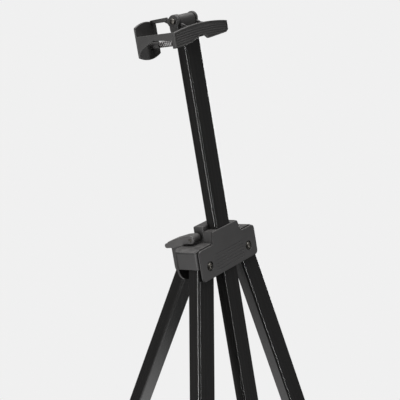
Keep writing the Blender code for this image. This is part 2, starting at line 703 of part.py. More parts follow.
def make_leg(name, leg, paint, bolt_axis):
    bpy.context.view_layer.update()
    rings = tube_rings(LEG_WIDTH, LEG_DEPTH, TUBE_WALL, LEG_CORNER, UPPER_BOTTOM, UPPER_TOP)
    plug_width = LEG_WIDTH - 2 * TUBE_WALL - 2 * GAP
    plug_depth = LEG_DEPTH - 2 * TUBE_WALL - 2 * GAP
    plug_steps = [
        (-22.0, plug_width, plug_depth, PLUG_CORNER + 0.8),
        (UPPER_TOP + GAP, plug_width, plug_depth, PLUG_CORNER + 0.8),
        (UPPER_TOP + GAP, LEG_WIDTH, LEG_DEPTH, LEG_CORNER),
        (UPPER_TOP + 1.4, LEG_WIDTH, LEG_DEPTH, LEG_CORNER),
    ]
    bolt_hole = BOLT_RADIUS + GAP
    if bolt_axis == "Y":
        tube_cuts = [rod(bolt_hole, (0.0, 0.0), -20.0, 20.0, "Y")]
        plug_cuts = [rod(bolt_hole, (0.0, 0.0), -20.0, 20.0, "Y")]
        plug = join_rings(sections(plug_steps))
    else:
        tube_cuts = [box((-30.0, -20.0, -9.0), (30.0, 20.0, 30.0))]
        plug_cuts = [rod(bolt_hole, (0.0, 0.0), -20.0, 20.0, "X")]
        neck = plug_depth / 2 - 0.4
        eye_radius = LEG_DEPTH / 2
        seat = -8.7
        eye = [(-neck, -32.0), (neck, -32.0), (neck, seat), (eye_radius, seat)]
        eye += arc((0.0, 0.0), eye_radius, 0, 180, 10)
        eye += [(-eye_radius, seat), (-neck, seat)]
        half_width = plug_width / 2 - 0.4
        plug = prism(eye, -half_width, half_width, "X")
    tube = join_rings(rings, closed=True)
    add_part(name + "_upper_tube", tube, paint["tube_black"], leg, cut=tube_cuts)
    add_part(name + "_top_plug", plug, paint["hub_plastic"], leg, cut=plug_cuts)
    make_lock(name, leg, paint)

    foot_outline = rounded_box(FOOT_WIDTH, FOOT_DEPTH, 4.0)
    sole = floor_ring(foot_outline, leg)
    floor_level = floor_ring([(0.0, 0.0)], leg)[0].z
    tube_end = floor_level + FOOT_SOLE
    lower_top = tube_end + GAP + LOWER_LENGTH
    rings = tube_rings(LOWER_WIDTH, LOWER_DEPTH, LOWER_WALL, LOWER_CORNER, tube_end + GAP, lower_top)
    lower = join_rings(rings, closed=True)
    add_part(name + "_lower_tube", lower, paint["tube_black"], leg)
    bush_steps = [
        (lower_top - 14.0, LOWER_WIDTH - 2.8, LOWER_DEPTH - 2.8, PLUG_CORNER),
        (lower_top + GAP, LOWER_WIDTH - 2.8, LOWER_DEPTH - 2.8, PLUG_CORNER),
        (lower_top + GAP, LEG_WIDTH - 3.0, LEG_DEPTH - 3.0, LEG_CORNER - 0.8),
        (lower_top + 12.0, LEG_WIDTH - 3.0, LEG_DEPTH - 3.0, LEG_CORNER - 0.8),
    ]
    add_part(name + "_slide_bush", join_rings(sections(bush_steps)), paint["hub_plastic"], leg)
    bore = (LOWER_WIDTH + 2 * GAP, LOWER_DEPTH + 2 * GAP, LOWER_CORNER + GAP)
    steps = [
        (floor_level + FOOT_HEIGHT - 2.0, FOOT_WIDTH, FOOT_DEPTH, 4.0),
        (floor_level + FOOT_HEIGHT, FOOT_WIDTH - 2.4, FOOT_DEPTH - 2.4, 3.0),
        (floor_level + FOOT_HEIGHT, *bore),
        (tube_end, *bore),
    ]
    foot = join_rings([sole, *sections(steps)])
    add_part(name + "_foot", foot, paint["black_rubber"], leg)


def make_legs(head, paint):
    for name, side in (("left", -1), ("right", 1)):
        place = (side * FRONT_PIVOT_X, FRONT_PIVOT_Y, FRONT_PIVOT_Z)
        leg = add_frame(name + "_leg_axis", place, (0.0, -side * FRONT_SPLAY, 0.0), head)
        make_leg(name, leg, paint, "Y")
    leg = add_frame("rear_leg_axis", (0.0, REAR_PIVOT_Y, REAR_PIVOT_Z), (REAR_SPLAY, 0.0, 0.0), head)
    make_leg("rear", leg, paint, "X")


def main():
    clear_scene()
    paint = make_materials()
    head = add_frame("head", (0.0, HEAD_SETBACK, HEAD_HEIGHT), (-HEAD_TILT, 0.0, 0.0))
    make_front_plate(head, paint)
    make_hub_body(head, paint)
    make_pivot_hardware(head, paint)
    make_mast_lock(head, paint)
    make_mast(head, paint)
    make_clamp(head, paint)
    make_ledge(head, paint)
    make_legs(head, paint)


main()
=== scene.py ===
"""The look of a tripod field easel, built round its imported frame: satin black tubes, a moulded hub and canvas
clamp, steel hardware and rubber feet. Lengths are in millimetres until they reach a mesh, and +Z is up.

The hub, mast, clamp and ledge are laid out in the head's frame: x to the painter's right, y towards the rear
leg and z up the mast, from the middle of the front plate's lower front edge. Each leg has a frame of its own,
with its origin on the fold axis, z up the leg and y towards the back.
"""

import json
import math

import bmesh
import bpy
from mathutils import Matrix, Vector


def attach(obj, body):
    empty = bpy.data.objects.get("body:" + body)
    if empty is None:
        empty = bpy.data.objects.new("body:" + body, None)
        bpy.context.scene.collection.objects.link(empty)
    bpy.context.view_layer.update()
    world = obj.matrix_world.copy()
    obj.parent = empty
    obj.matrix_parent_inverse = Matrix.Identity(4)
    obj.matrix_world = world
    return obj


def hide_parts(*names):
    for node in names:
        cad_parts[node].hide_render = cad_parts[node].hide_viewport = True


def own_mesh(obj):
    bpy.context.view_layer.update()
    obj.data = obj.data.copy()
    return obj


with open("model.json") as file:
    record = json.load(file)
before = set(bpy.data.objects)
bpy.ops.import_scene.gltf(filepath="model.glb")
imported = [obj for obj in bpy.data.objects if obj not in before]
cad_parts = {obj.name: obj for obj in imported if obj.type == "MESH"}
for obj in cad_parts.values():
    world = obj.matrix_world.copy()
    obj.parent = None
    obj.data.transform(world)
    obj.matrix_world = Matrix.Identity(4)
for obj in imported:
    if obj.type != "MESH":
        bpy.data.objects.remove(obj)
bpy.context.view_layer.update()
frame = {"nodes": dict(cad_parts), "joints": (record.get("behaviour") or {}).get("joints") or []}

MM = 0.001
SIDES = 48
CORNER_STEPS = 7
EDGE_STEPS = 3
SHARP_ANGLE = math.radians(35.0)
CREASE_ANGLE = math.radians(38)

# Tubes
TUBE_WALL = 1.2
MAST_WIDTH = 26.6
MAST_DEPTH = 12.8
MAST_CORNER = 2.0
LEG_WIDTH = 28.5
LEG_DEPTH = 15.2
LEG_CORNER = 2.6
LOWER_WIDTH = 24.5
LOWER_DEPTH = 11.4
LOWER_WALL = 1.1
LOWER_CORNER = 2.2

# Hub
HUB_HALF_WIDTH = 53.8
PLATE_BACK = 2.4
PLATE_CORNER = 5.0
BAND_TOP = 35.4
HUMP_TOP = 49.0
HUMP_HALF_BASE = 27.5
HUMP_HALF_TOP = 23.5
BODY_FRONT = 2.7
BODY_BACK = 34.7
BODY_BOTTOM = 14.7
BODY_TOP = 36.5
BLOCK_BACK = 27.0
BLOCK_TOP = 54.5
POCKET_TOP = 31.5
POCKET_BACK = 20.6
WEB_BACK = 24.0
WEB_LOBE_RADIUS = 8.0
BACK_WALL_FRONT = 32.0
BACK_LOBE_RADIUS = 15.6
FRONT_PIVOT_X = 37.7
FRONT_PIVOT_Y = 12.7
FRONT_PIVOT_Z = 14.3
FRONT_SPLAY = math.radians(14.8)
REAR_PIVOT_Y = 52.0
REAR_PIVOT_Z = 14.3
BOLT_RADIUS = 2.4
BOLT_HOLE_RADIUS = BOLT_RADIUS + 0.3
BOLT_HEAD_RADIUS = 4.2
BOLT_SOCKET_ACROSS = 2.6
NUT_ACROSS = 8.0
NUT_HEIGHT = 4.0
EAR_INNER = 15.0
EAR_OUTER = 18.8
EAR_BACK = 67.0
EAR_BOTTOM = -3.0

# Mast and cam lock
MAST_FRONT = 2.7
MAST_BACK = MAST_FRONT + MAST_DEPTH
MAST_BOTTOM = -480.0
MAST_TOP = 266.0
CAM_Y = 21.9
CAM_Z = 43.3
CAM = (CAM_Y, CAM_Z)
CAM_SHAFT_RADIUS = 2.0
CAM_LEVER_LEFT = -38.0
CAM_LEVER_RIGHT = -24.6

# Canvas clamp
CLAMP_HALF_WIDTH = 15.6
CLAMP_BOTTOM = 258.0
CLAMP_TOP = 272.0
CLAMP_FRONT = -3.0
CLAMP_BACK = 19.0
CLAMP_PIN_Y = 9.0
CLAMP_PIN_Z = 279.0
CLAMP_PIN = (CLAMP_PIN_Y, CLAMP_PIN_Z)
CLAMP_PIN_RADIUS = 1.8
CLAMP_PIN_HOLE_RADIUS = CLAMP_PIN_RADIUS + 0.2
KNUCKLE_RADIUS = 6.0
KNUCKLE_HALF_WIDTH = 11.6
JAW_HALF_WIDTH = 47.6
JAW_FRONT = -12.0
JAW_PANEL = -11.0
JAW_BACK = -8.6
JAW_BOTTOM = 253.9
JAW_END = 269.4
JAW_RISE = 4.0
JAW_RIM = 1.3
LOOP_LEFT = -46.6
LOOP_RIGHT = -10.7
LOOP_FRONT = 39.4
LOOP_BACK = 42.2
LOOP_TOP = 279.0
LOOP_BOTTOM = 247.0
LOOP_BOW = 4.2
ARM_THICKNESS = 2.8
BOSS_FRONT = 28.5
BOSS_RADIUS = 3.4
SEAT_FRONT = 3.0
SEAT_BACK = 7.0
SPRING_X = -24.0
SPRING_Z = 257.0
SPRING_RADIUS = 2.7
SPRING_WIRE = 0.7
SPRING_LOW = 8.0
SPRING_HIGH = 27.5
SPRING_TURNS = 6.5

# Canvas ledge
LEDGE_Z = -330.0
LEDGE_HALF_WIDTH = 95.0
LEDGE_REACH = -32.0
LEDGE_BOTTOM = LEDGE_Z - 4.0
LEDGE_KNOB_Z = LEDGE_Z - 17.0
LEDGE_KNOB_RADIUS = 10.0
LEDGE_KNOB_WAVE = 0.9

# Leg ends and leg locks
UPPER_TOP = 12.0
UPPER_BOTTOM = -600.0
REAR_UPPER_TOP = -9.0
LOWER_LENGTH = 620.0
FOOT_WIDTH = 30.4
FOOT_DEPTH = 17.4
FOOT_HEIGHT = 34.0
FOOT_SOLE = 11.0
COLLAR_WIDTH = 34.1
COLLAR_DEPTH = 20.8
COLLAR_TOP = -572.0
COLLAR_BOTTOM = -622.0
LOCK_Y = 14.7
LOCK_Z = -612.0
LOCK_PIN = (LOCK_Y, LOCK_Z)
LOCK_PIN_RADIUS = 1.5
LOCK_PIN_HOLE_RADIUS = LOCK_PIN_RADIUS + 0.2
LOCK_LEVER_HALF_WIDTH = 7.2

# Camera, seen from the head's origin
EYE_OFFSET = Vector((-0.88603, -0.59996, 0.45566))
EYE_RIGHT = Vector((0.58648, -0.80995, -0.00488))
EYE_UP = Vector((0.27082, 0.19041, 0.94361))
LENS = 93.31
BACKDROP = 0.872


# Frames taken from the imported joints


def joint(name):
    return next(j for j in frame["joints"] if j["name"] == name)


def axes_matrix(origin, x_axis, y_axis, z_axis):
    turn = Matrix((x_axis, y_axis, z_axis)).transposed().to_4x4()
    return Matrix.Translation(origin) @ turn


def head_matrix():
    left = joint("left_leg_fold")
    right = joint("right_leg_fold")
    across = Vector((1.0, 0.0, 0.0))
    back = Vector(right["axis"]).normalized()
    up = across.cross(back)
    middle = (Vector(left["pos_m"]) + Vector(right["pos_m"])) / 2
    origin = middle - (back * FRONT_PIVOT_Y + up * FRONT_PIVOT_Z) * MM
    return axes_matrix(origin, across, back, up)


def leg_matrix(name):
    up = Vector(joint(name + "_leg_extend")["axis"]).normalized()
    up = up if up.z > 0 else -up
    if name == "rear":
        across = Vector((1.0, 0.0, 0.0))
        back = up.cross(across)
    else:
        back = Vector(joint("right_leg_fold")["axis"]).normalized()
        across = back.cross(up)
    return axes_matrix(Vector(joint(name + "_leg_fold")["pos_m"]), across, back, up)


HEAD = head_matrix()


# Shader node groups


def add_node(tree, kind, **settings):
    node = tree.nodes.new(kind)
    for key, value in settings.items():
        setattr(node, key, value)
    return node


def math_node(tree, operation, first, second, clamp=False):
    """A Math node; each operand is a socket or a number."""
    node = add_node(tree, "ShaderNodeMath", operation=operation, use_clamp=clamp)
    for index, operand in enumerate((first, second)):
        if isinstance(operand, (int, float)):
            node.inputs[index].default_value = operand
        else:
            tree.links.new(operand, node.inputs[index])
    return node.outputs[0]


def spread(tree, value, from_low, from_high, to_low, to_high):
    """Maps one range of a value onto another."""
    node = add_node(tree, "ShaderNodeMapRange", clamp=True)
    tree.links.new(value, node.inputs["Value"])
    node.inputs["From Min"].default_value = from_low
    node.inputs["From Max"].default_value = from_high
    node.inputs["To Min"].default_value = to_low
    node.inputs["To Max"].default_value = to_high
    return node.outputs["Result"]


def surface_place(tree):
    return add_node(tree, "ShaderNodeTexCoord").outputs["Object"]


def noise(tree, place, scale, detail, rough=0.5):
    """Noise over a place; the scale is a socket or a number."""
    node = add_node(tree, "ShaderNodeTexNoise")
    node.inputs["Detail"].default_value = detail
    node.inputs["Roughness"].default_value = rough
    tree.links.new(place, node.inputs["Vector"])
    if isinstance(scale, float):
        node.inputs["Scale"].default_value = scale
    else:
        tree.links.new(scale, node.inputs["Scale"])
    return node.outputs["Fac"]


def emboss(tree, shader, height, strength, distance, normal=None):
    """Raises a shader's surface by a height, over a normal where there is one."""
    bump = add_node(tree, "ShaderNodeBump")
    bump.inputs["Strength"].default_value = strength
    bump.inputs["Distance"].default_value = distance
    tree.links.new(height, bump.inputs["Height"])
    if normal is not None:
        tree.links.new(normal, bump.inputs["Normal"])
    tree.links.new(bump.outputs["Normal"], shader.inputs["Normal"])


def new_group(name, numbers, results):
    """An empty node group with numbers as inputs, and results as (label, socket type)."""
    group = bpy.data.node_groups.new(name, "ShaderNodeTree")
    for label, value in numbers:
        socket = group.interface.new_socket(label, in_out="INPUT", socket_type="NodeSocketFloat")
        socket.default_value = value
    for label, kind in results:
        group.interface.new_socket(label, in_out="OUTPUT", socket_type=kind)
    return group, add_node(group, "NodeGroupInput"), add_node(group, "NodeGroupOutput")


def moulded_grain_group():
    """The fine pebbled skin of a moulded part, and its slow change of tone."""
    results = [("Height", "NodeSocketFloat"), ("Tone", "NodeSocketFloat")]
    group, given, out = new_group("moulded_grain", [("Size", 900.0), ("Relief", 1.0)], results)
    place = surface_place(group)
    pebbles = noise(group, place, given.outputs["Size"], 3.0, 0.6)
    cloud = noise(group, place, 45.0, 4.0)
    height = math_node(group, "MULTIPLY", pebbles, given.outputs["Relief"])
    fine = spread(group, pebbles, 0.3, 0.7, 0.0, 0.4)
    slow = spread(group, cloud, 0.3, 0.7, 0.0, 0.6)
    group.links.new(height, out.inputs["Height"])
    group.links.new(math_node(group, "ADD", fine, slow), out.inputs["Tone"])
    return group


def drawn_metal_group():
    """Long faint draw lines down an extruded tube, along its own z."""
    results = [("Height", "NodeSocketFloat"), ("Streak", "NodeSocketFloat")]
    group, given, out = new_group("drawn_metal", [("Fineness", 700.0), ("Relief", 1.0)], results)
    stretch = add_node(group, "ShaderNodeMapping")
    stretch.inputs["Scale"].default_value = (1.0, 1.0, 0.012)
    group.links.new(surface_place(group), stretch.inputs["Vector"])
    lines = noise(group, stretch.outputs["Vector"], given.outputs["Fineness"], 3.0)
    height = math_node(group, "MULTIPLY", lines, given.outputs["Relief"])
    group.links.new(height, out.inputs["Height"])
    group.links.new(spread(group, lines, 0.3, 0.7, 0.0, 1.0), out.inputs["Streak"])
    return group


def rubbed_edges_group():
    """A mask that finds the edges handled most, and a normal that rounds them."""
    results = [("Wear", "NodeSocketFloat"), ("Normal", "NodeSocketVector")]
    group, given, out = new_group("rubbed_edges", [("Width", 0.0006), ("Amount", 1.0)], results)
    rounded = add_node(group, "ShaderNodeBevel", samples=4)
    group.links.new(given.outputs["Width"], rounded.inputs["Radius"])
    flat = add_node(group, "ShaderNodeNewGeometry")
    match = add_node(group, "ShaderNodeVectorMath", operation="DOT_PRODUCT")
    group.links.new(rounded.outputs["Normal"], match.inputs[0])
    group.links.new(flat.outputs["True Normal"], match.inputs[1])
    edge = spread(group, match.outputs["Value"], 0.995, 0.85, 0.0, 1.0)
    patches = noise(group, surface_place(group), 160.0, 5.0)
    broken = spread(group, patches, 0.35, 0.65, 0.25, 1.0)
    wear = math_node(group, "MULTIPLY", edge, broken)
    wear = math_node(group, "MULTIPLY", wear, given.outputs["Amount"], clamp=True)
    group.links.new(wear, out.inputs["Wear"])
    group.links.new(rounded.outputs["Normal"], out.inputs["Normal"])
    return group


def settled_dust_group():
    """Thin dust on what faces up."""
    results = [("Dust", "NodeSocketFloat")]
    group, given, out = new_group("settled_dust", [("Amount", 0.3)], results)
    facing = add_node(group, "ShaderNodeNewGeometry")
    parts = add_node(group, "ShaderNodeSeparateXYZ")
    group.links.new(facing.outputs["Normal"], parts.inputs["Vector"])
    upward = spread(group, parts.outputs["Z"], 0.55, 1.0, 0.0, 1.0)
    specks = noise(group, surface_place(group), 260.0, 6.0)
    patchy = spread(group, specks, 0.35, 0.75, 0.2, 1.0)
    dust = math_node(group, "MULTIPLY", upward, patchy)
    dust = math_node(group, "MULTIPLY", dust, given.outputs["Amount"], clamp=True)
    group.links.new(dust, out.inputs["Dust"])
    return group


GRAIN = moulded_grain_group()
DRAWN = drawn_metal_group()
RUBBED = rubbed_edges_group()
DUST = settled_dust_group()


# Finishes


def place_group(tree, group, **values):
    node = add_node(tree, "ShaderNodeGroup", node_tree=group)
    for label, value in values.items():
        node.inputs[label].default_value = value
    return node


def blend_colours(tree, amount, first, second):
    """A colour mix; each colour is a socket or a grey-to-colour triple."""
    node = add_node(tree, "ShaderNodeMix", data_type="RGBA")
    tree.links.new(amount, node.inputs["Factor"])
    for label, colour in (("A", first), ("B", second)):
        socket = next(s for s in node.inputs if s.name == label and s.type == "RGBA")
        if isinstance(colour, tuple):
            socket.default_value = (*colour, 1.0)
        else:
            tree.links.new(colour, socket)
    return next(s for s in node.outputs if s.type == "RGBA")


def new_finish(name):
    material = bpy.data.materials.new(name)
    material.use_nodes = True
    return material, material.node_tree, material.node_tree.nodes["Principled BSDF"]


def moulded_finish(name, dark, light, rough, grain, relief, specular, wear, dust):
    """Moulded plastic or rubber: pebbled skin, slow tone changes, rubbed edges and dust on top."""
    material, tree, shader = new_finish(name)
    skin = place_group(tree, GRAIN, Size=grain, Relief=relief)
    edges = place_group(tree, RUBBED, Width=0.0005, Amount=wear)
    settled = place_group(tree, DUST, Amount=dust)
    colour = blend_colours(tree, skin.outputs["Tone"], dark, light)
    worn_tone = tuple(min(1.0, 2.6 * value + 0.01) for value in light)
    colour = blend_colours(tree, edges.outputs["Wear"], colour, worn_tone)
    colour = blend_colours(tree, settled.outputs["Dust"], colour, (0.34, 0.33, 0.32))
    tree.links.new(colour, shader.inputs["Base Color"])
    gloss = spread(tree, skin.outputs["Tone"], 0.0, 1.0, rough - 0.05, rough + 0.07)
    gloss = math_node(tree, "SUBTRACT", gloss, spread(tree, edges.outputs["Wear"], 0.0, 1.0, 0.0, 0.12))
    tree.links.new(gloss, shader.inputs["Roughness"])
    emboss(tree, shader, skin.outputs["Height"], 0.35, 0.0002, edges.outputs["Normal"])
    shader.inputs["Specular IOR Level"].default_value = specular
    return material


def tube_finish(name):
    """Black baked paint over a drawn tube."""
    material, tree, shader = new_finish(name)
    lines = place_group(tree, DRAWN, Fineness=520.0, Relief=0.6)
    edges = place_group(tree, RUBBED, Width=0.0004, Amount=0.25)
    settled = place_group(tree, DUST, Amount=0.12)
    colour = blend_colours(tree, lines.outputs["Streak"], (0.0075, 0.0073, 0.0072), (0.0115, 0.0112, 0.0110))
    colour = blend_colours(tree, edges.outputs["Wear"], colour, (0.05, 0.05, 0.05))
    colour = blend_colours(tree, settled.outputs["Dust"], colour, (0.30, 0.29, 0.28))
    tree.links.new(colour, shader.inputs["Base Color"])
    gloss = spread(tree, lines.outputs["Streak"], 0.0, 1.0, 0.15, 0.20)
    tree.links.new(gloss, shader.inputs["Roughness"])
    emboss(tree, shader, lines.outputs["Height"], 0.04, 0.0001)
    shader.inputs["Specular IOR Level"].default_value = 0.42
    return material


def steel_finish(name, dark, light, rough):
    """Turned or drawn steel with fine marks and duller patches."""
    material, tree, shader = new_finish(name)
    marks = place_group(tree, GRAIN, Size=1400.0, Relief=0.5)
    edges = place_group(tree, RUBBED, Width=0.0003, Amount=0.6)
    colour = blend_colours(tree, marks.outputs["Tone"], dark, light)
    colour = blend_colours(tree, edges.outputs["Wear"], colour, (0.55, 0.54, 0.52))
    tree.links.new(colour, shader.inputs["Base Color"])
    gloss = spread(tree, marks.outputs["Tone"], 0.0, 1.0, rough, rough + 0.16)
    tree.links.new(gloss, shader.inputs["Roughness"])
    emboss(tree, shader, marks.outputs["Height"], 0.15, 0.0001, edges.outputs["Normal"])
    shader.inputs["Metallic"].default_value = 1.0
    return material


HUB_TONES = ((0.013, 0.012, 0.012), (0.023, 0.022, 0.022))
CLAMP_TONES = ((0.017, 0.016, 0.016), (0.030, 0.029, 0.028))
LEVER_TONES = ((0.034, 0.032, 0.032), (0.052, 0.050, 0.049))
RUBBER_TONES = ((0.014, 0.014, 0.014), (0.024, 0.023, 0.022))
HUB_SKIN = {"rough": 0.50, "grain": 900.0, "relief": 1.0, "specular": 0.45, "wear": 0.45, "dust": 0.20}
CLAMP_SKIN = {"rough": 0.50, "grain": 1000.0, "relief": 1.0, "specular": 0.5, "wear": 0.45, "dust": 0.18}
LEVER_SKIN = {"rough": 0.46, "grain": 1100.0, "relief": 0.8, "specular": 0.5, "wear": 0.5, "dust": 0.22}
RUBBER_SKIN = {"rough": 0.80, "grain": 1500.0, "relief": 1.2, "specular": 0.3, "wear": 0.2, "dust": 0.2}

FINISHES = {
    "tube_black": tube_finish("satin_tube_paint"),
    "hub_plastic": moulded_finish("moulded_hub", *HUB_TONES, **HUB_SKIN),
    "clamp_plastic": moulded_finish("moulded_clamp", *CLAMP_TONES, **CLAMP_SKIN),
    "lever_plastic": moulded_finish("moulded_lever", *LEVER_TONES, **LEVER_SKIN),
    "black_rubber": moulded_finish("soft_rubber", *RUBBER_TONES, **RUBBER_SKIN),
    "dark_steel": steel_finish("blackened_steel", (0.055, 0.052, 0.046), (0.110, 0.104, 0.094), 0.30),
    "spring_steel": steel_finish("spring_wire", (0.10, 0.095, 0.095), (0.19, 0.18, 0.18), 0.36),
}


# Outlines and solids


def arc(centre, radius, start, end, steps):
    """Points on an arc, with angles in degrees."""
    points = []
    for step in range(steps + 1):
        angle = math.radians(start + (end - start) * step / steps)
        points.append((centre[0] + radius * math.cos(angle), centre[1] + radius * math.sin(angle)))
    return points


def circle(centre, radius, sides=SIDES):
    return arc(centre, radius, 0, 360 - 360 / sides, sides - 1)


def rounded_box(width, depth, corner, centre=(0.0, 0.0), steps=CORNER_STEPS):
    """A rectangle's outline with round corners, anticlockwise."""
    points = []
    for index, (side_x, side_y) in enumerate(((1, 1), (-1, 1), (-1, -1), (1, -1))):
        middle = (centre[0] + side_x * (width / 2 - corner), centre[1] + side_y * (depth / 2 - corner))
        points += arc(middle, corner, 90 * index, 90 * index + 90, steps)
    return points


def place_points(outline, level, axis):
    """Outline points as 3-D points: (y, z) across an X axis, (x, z) across Y, (x, y) across Z."""
    if axis == "X":
        return [Vector((level, a, b)) for a, b in outline]
    if axis == "Y":
        return [Vector((a, level, b)) for a, b in outline]
    return [Vector((a, b, level)) for a, b in outline]


def round_edges(mesh, width):
    """Rounds every sharp edge."""
    sharp = [e for e in mesh.edges if e.is_manifold and e.calc_face_angle() > SHARP_ANGLE]
    bmesh.ops.bevel(
        mesh,
        geom=sharp,
        offset=width * MM,
        segments=EDGE_STEPS,
        profile=0.5,
        affect="EDGES",
        clamp_overlap=True,
    )
    return mesh


def join_rings(rings, closed=False, edge=0.0):
    """A solid through rings of equally many points: capped at its ends, or closed on itself."""
    mesh = bmesh.new()
    loops = [[mesh.verts.new(point * MM) for point in ring] for ring in rings]
    count = len(rings[0])
    pairs = list(zip(loops, loops[1:]))
    if closed:
        pairs.append((loops[-1], loops[0]))
    for low, high in pairs:
        for index in range(count):
            after = (index + 1) % count
            mesh.faces.new((low[index], low[after], high[after], high[index]))
    if not closed:
        mesh.faces.new(list(reversed(loops[0])))
        mesh.faces.new(loops[-1])
    bmesh.ops.recalc_face_normals(mesh, faces=mesh.faces)
    return round_edges(mesh, edge) if edge else mesh


def prism(outline, low, high, axis, edge=0.0):
    """A solid of one outline between two levels along an axis."""
    return join_rings([place_points(outline, low, axis), place_points(outline, high, axis)], edge=edge)


def block(low, high, edge=0.0):
    """A box between two opposite corners."""
    outline = [(low[0], low[1]), (high[0], low[1]), (high[0], high[1]), (low[0], high[1])]
    return prism(outline, low[2], high[2], "Z", edge)


def turned(profile, centre, axis, sides=SIDES):
    """A turned solid about an axis through centre, from (radius, level) pairs along it."""
    rings = [place_points(circle(centre, radius, sides), level, axis) for radius, level in profile]
    return join_rings(rings)


def rod(radius, centre, low, high, axis, sides=SIDES):
    return turned([(radius, low), (radius, high)], centre, axis, sides)


def box_rings(steps):
    """Rings of rounded boxes along z, from (level, width, depth, corner) steps."""
    return [place_points(rounded_box(w, d, c), level, "Z") for level, w, d, c in steps]


def hexagon(centre, across):
    """A hexagon of a width across its flats."""
    return arc(centre, across / math.sqrt(3.0), 0, 300, 5)


# Pieces


def link_object(name, mesh, place):
    data = bpy.data.meshes.new(name)
    mesh.to_mesh(data)
    mesh.free()
    obj = bpy.data.objects.new(name, data)
    obj.matrix_world = place
    bpy.context.scene.collection.objects.link(obj)
    return obj


def settle(obj):
    """Applies an object's modifiers to its mesh."""
    graph = bpy.context.evaluated_depsgraph_get()
    data = bpy.data.meshes.new_from_object(obj.evaluated_get(graph))
    obj.modifiers.clear()
    obj.data = data


def piece(name, mesh, finish, place, body, nodes=(), add=(), cut=(), within=()):
    """One shown piece: a solid with others joined, cut away or used as its limits, in a finish, on a body."""
    obj = link_object(name, mesh, place)
    helpers = []
    for operation, shapes in (("INTERSECT", within), ("UNION", add), ("DIFFERENCE", cut)):
        for shape in shapes:
            helper = link_object(name + "_tool", shape, place)
            helpers.append(helper)
            step = obj.modifiers.new("joined", "BOOLEAN")
            step.operation = operation
            step.solver = "EXACT"
            step.object = helper
    if helpers:
        settle(obj)
    for helper in helpers:
        bpy.data.objects.remove(helper)
    obj.data.shade_smooth()
    obj.data.set_sharp_from_angle(angle=CREASE_ANGLE)
    even = obj.modifiers.new("even_shading", "WEIGHTED_NORMAL")
    even.keep_sharp = True
    settle(obj)
    obj.data.materials.clear()
    obj.data.materials.append(FINISHES[finish])
    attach(obj, body)
    if nodes:
        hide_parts(*nodes)
    return obj


def head_piece(name, mesh, finish, body, nodes=(), **shapes):
    return piece(name, mesh, finish, HEAD, body, nodes, **shapes)


# Hub


def hump_outline(half_base, half_top, base, top):
    return [(-half_base, base), (half_base, base), (half_top, top), (-half_top, top)]


def make_front_plate():
    """The hub's face, with shallow level grooves between its two bolt recesses."""
    right = HUB_HALF_WIDTH - PLATE_CORNER
    outline = arc((-right, PLATE_CORNER), PLATE_CORNER, 180, 270, 8)
    outline += arc((right, PLATE_CORNER), PLATE_CORNER, 270, 360, 8)
    outline += arc((right, BAND_TOP - PLATE_CORNER), PLATE_CORNER, 0, 90, 8)
    outline += [(HUMP_HALF_BASE + 0.8, BAND_TOP), (HUMP_HALF_BASE, BAND_TOP + 0.8)]
    outline += [(HUMP_HALF_TOP + 0.5, HUMP_TOP - 1.2), (HUMP_HALF_TOP - 1.0, HUMP_TOP)]
    outline += [(1.0 - HUMP_HALF_TOP, HUMP_TOP), (-HUMP_HALF_TOP - 0.5, HUMP_TOP - 1.2)]
    outline += [(-HUMP_HALF_BASE, BAND_TOP + 0.8), (-HUMP_HALF_BASE - 0.8, BAND_TOP)]
    outline += arc((-right, BAND_TOP - PLATE_CORNER), PLATE_CORNER, 90, 180, 8)
    cuts = []
    for side in (-1, 1):
        recess = [(5.8, -0.2), (5.4, 0.2), (5.1, 1.6), (BOLT_HOLE_RADIUS, 1.6), (BOLT_HOLE_RADIUS, 4.0)]
        cuts.append(turned(recess, (side * FRONT_PIVOT_X, FRONT_PIVOT_Z), "Y"))
    groove_half = HUMP_HALF_BASE - 0.5
    groove_depth = 0.35
    for row in range(6):
        level = 5.2 + 3.6 * row
        cuts.append(block((-groove_half, -1.0, level), (groove_half, groove_depth, level + 1.0)))
    plate = prism(outline, 0.0, PLATE_BACK, "Y", edge=0.9)
    head_piece("hub_face_plate", plate, "hub_plastic", "hub", ["front_plate"], cut=cuts)


def ear_outline():
    """Side view of a rear leg ear: a cheek behind the body, square above and round below."""
    points = [(BODY_BACK - 2.0, BODY_TOP - 1.5), (EAR_BACK - 9.0, BODY_TOP - 3.0)]
    points += arc((EAR_BACK - 4.0, BODY_TOP - 9.5), 4.0, 75, 0, 10)
    points += arc((EAR_BACK - 8.0, EAR_BOTTOM + 8.0), 8.0, 0, -90, 14)
    points += [(EAR_BACK - 21.0, EAR_BOTTOM), (BODY_BACK - 2.0, 10.0)]
    return points


def leg_pocket(side):
    """The space that a front leg swings in, open downwards and flared at its mouth for the leg's slope."""
    slope = math.tan(FRONT_SPLAY)
    inner = 18.0
    outer = HUB_HALF_WIDTH - 1.3
    flare_top = BODY_BOTTOM + 0.3
    low = BODY_BOTTOM - 2.0
    outline = [(inner, low), (outer + slope * (flare_top - low), low), (outer, flare_top)]
    outline += [(outer, POCKET_TOP), (inner, POCKET_TOP)]
    return prism([(side * x, z) for x, z in outline], BODY_FRONT - 2.0, POCKET_BACK, "Y")


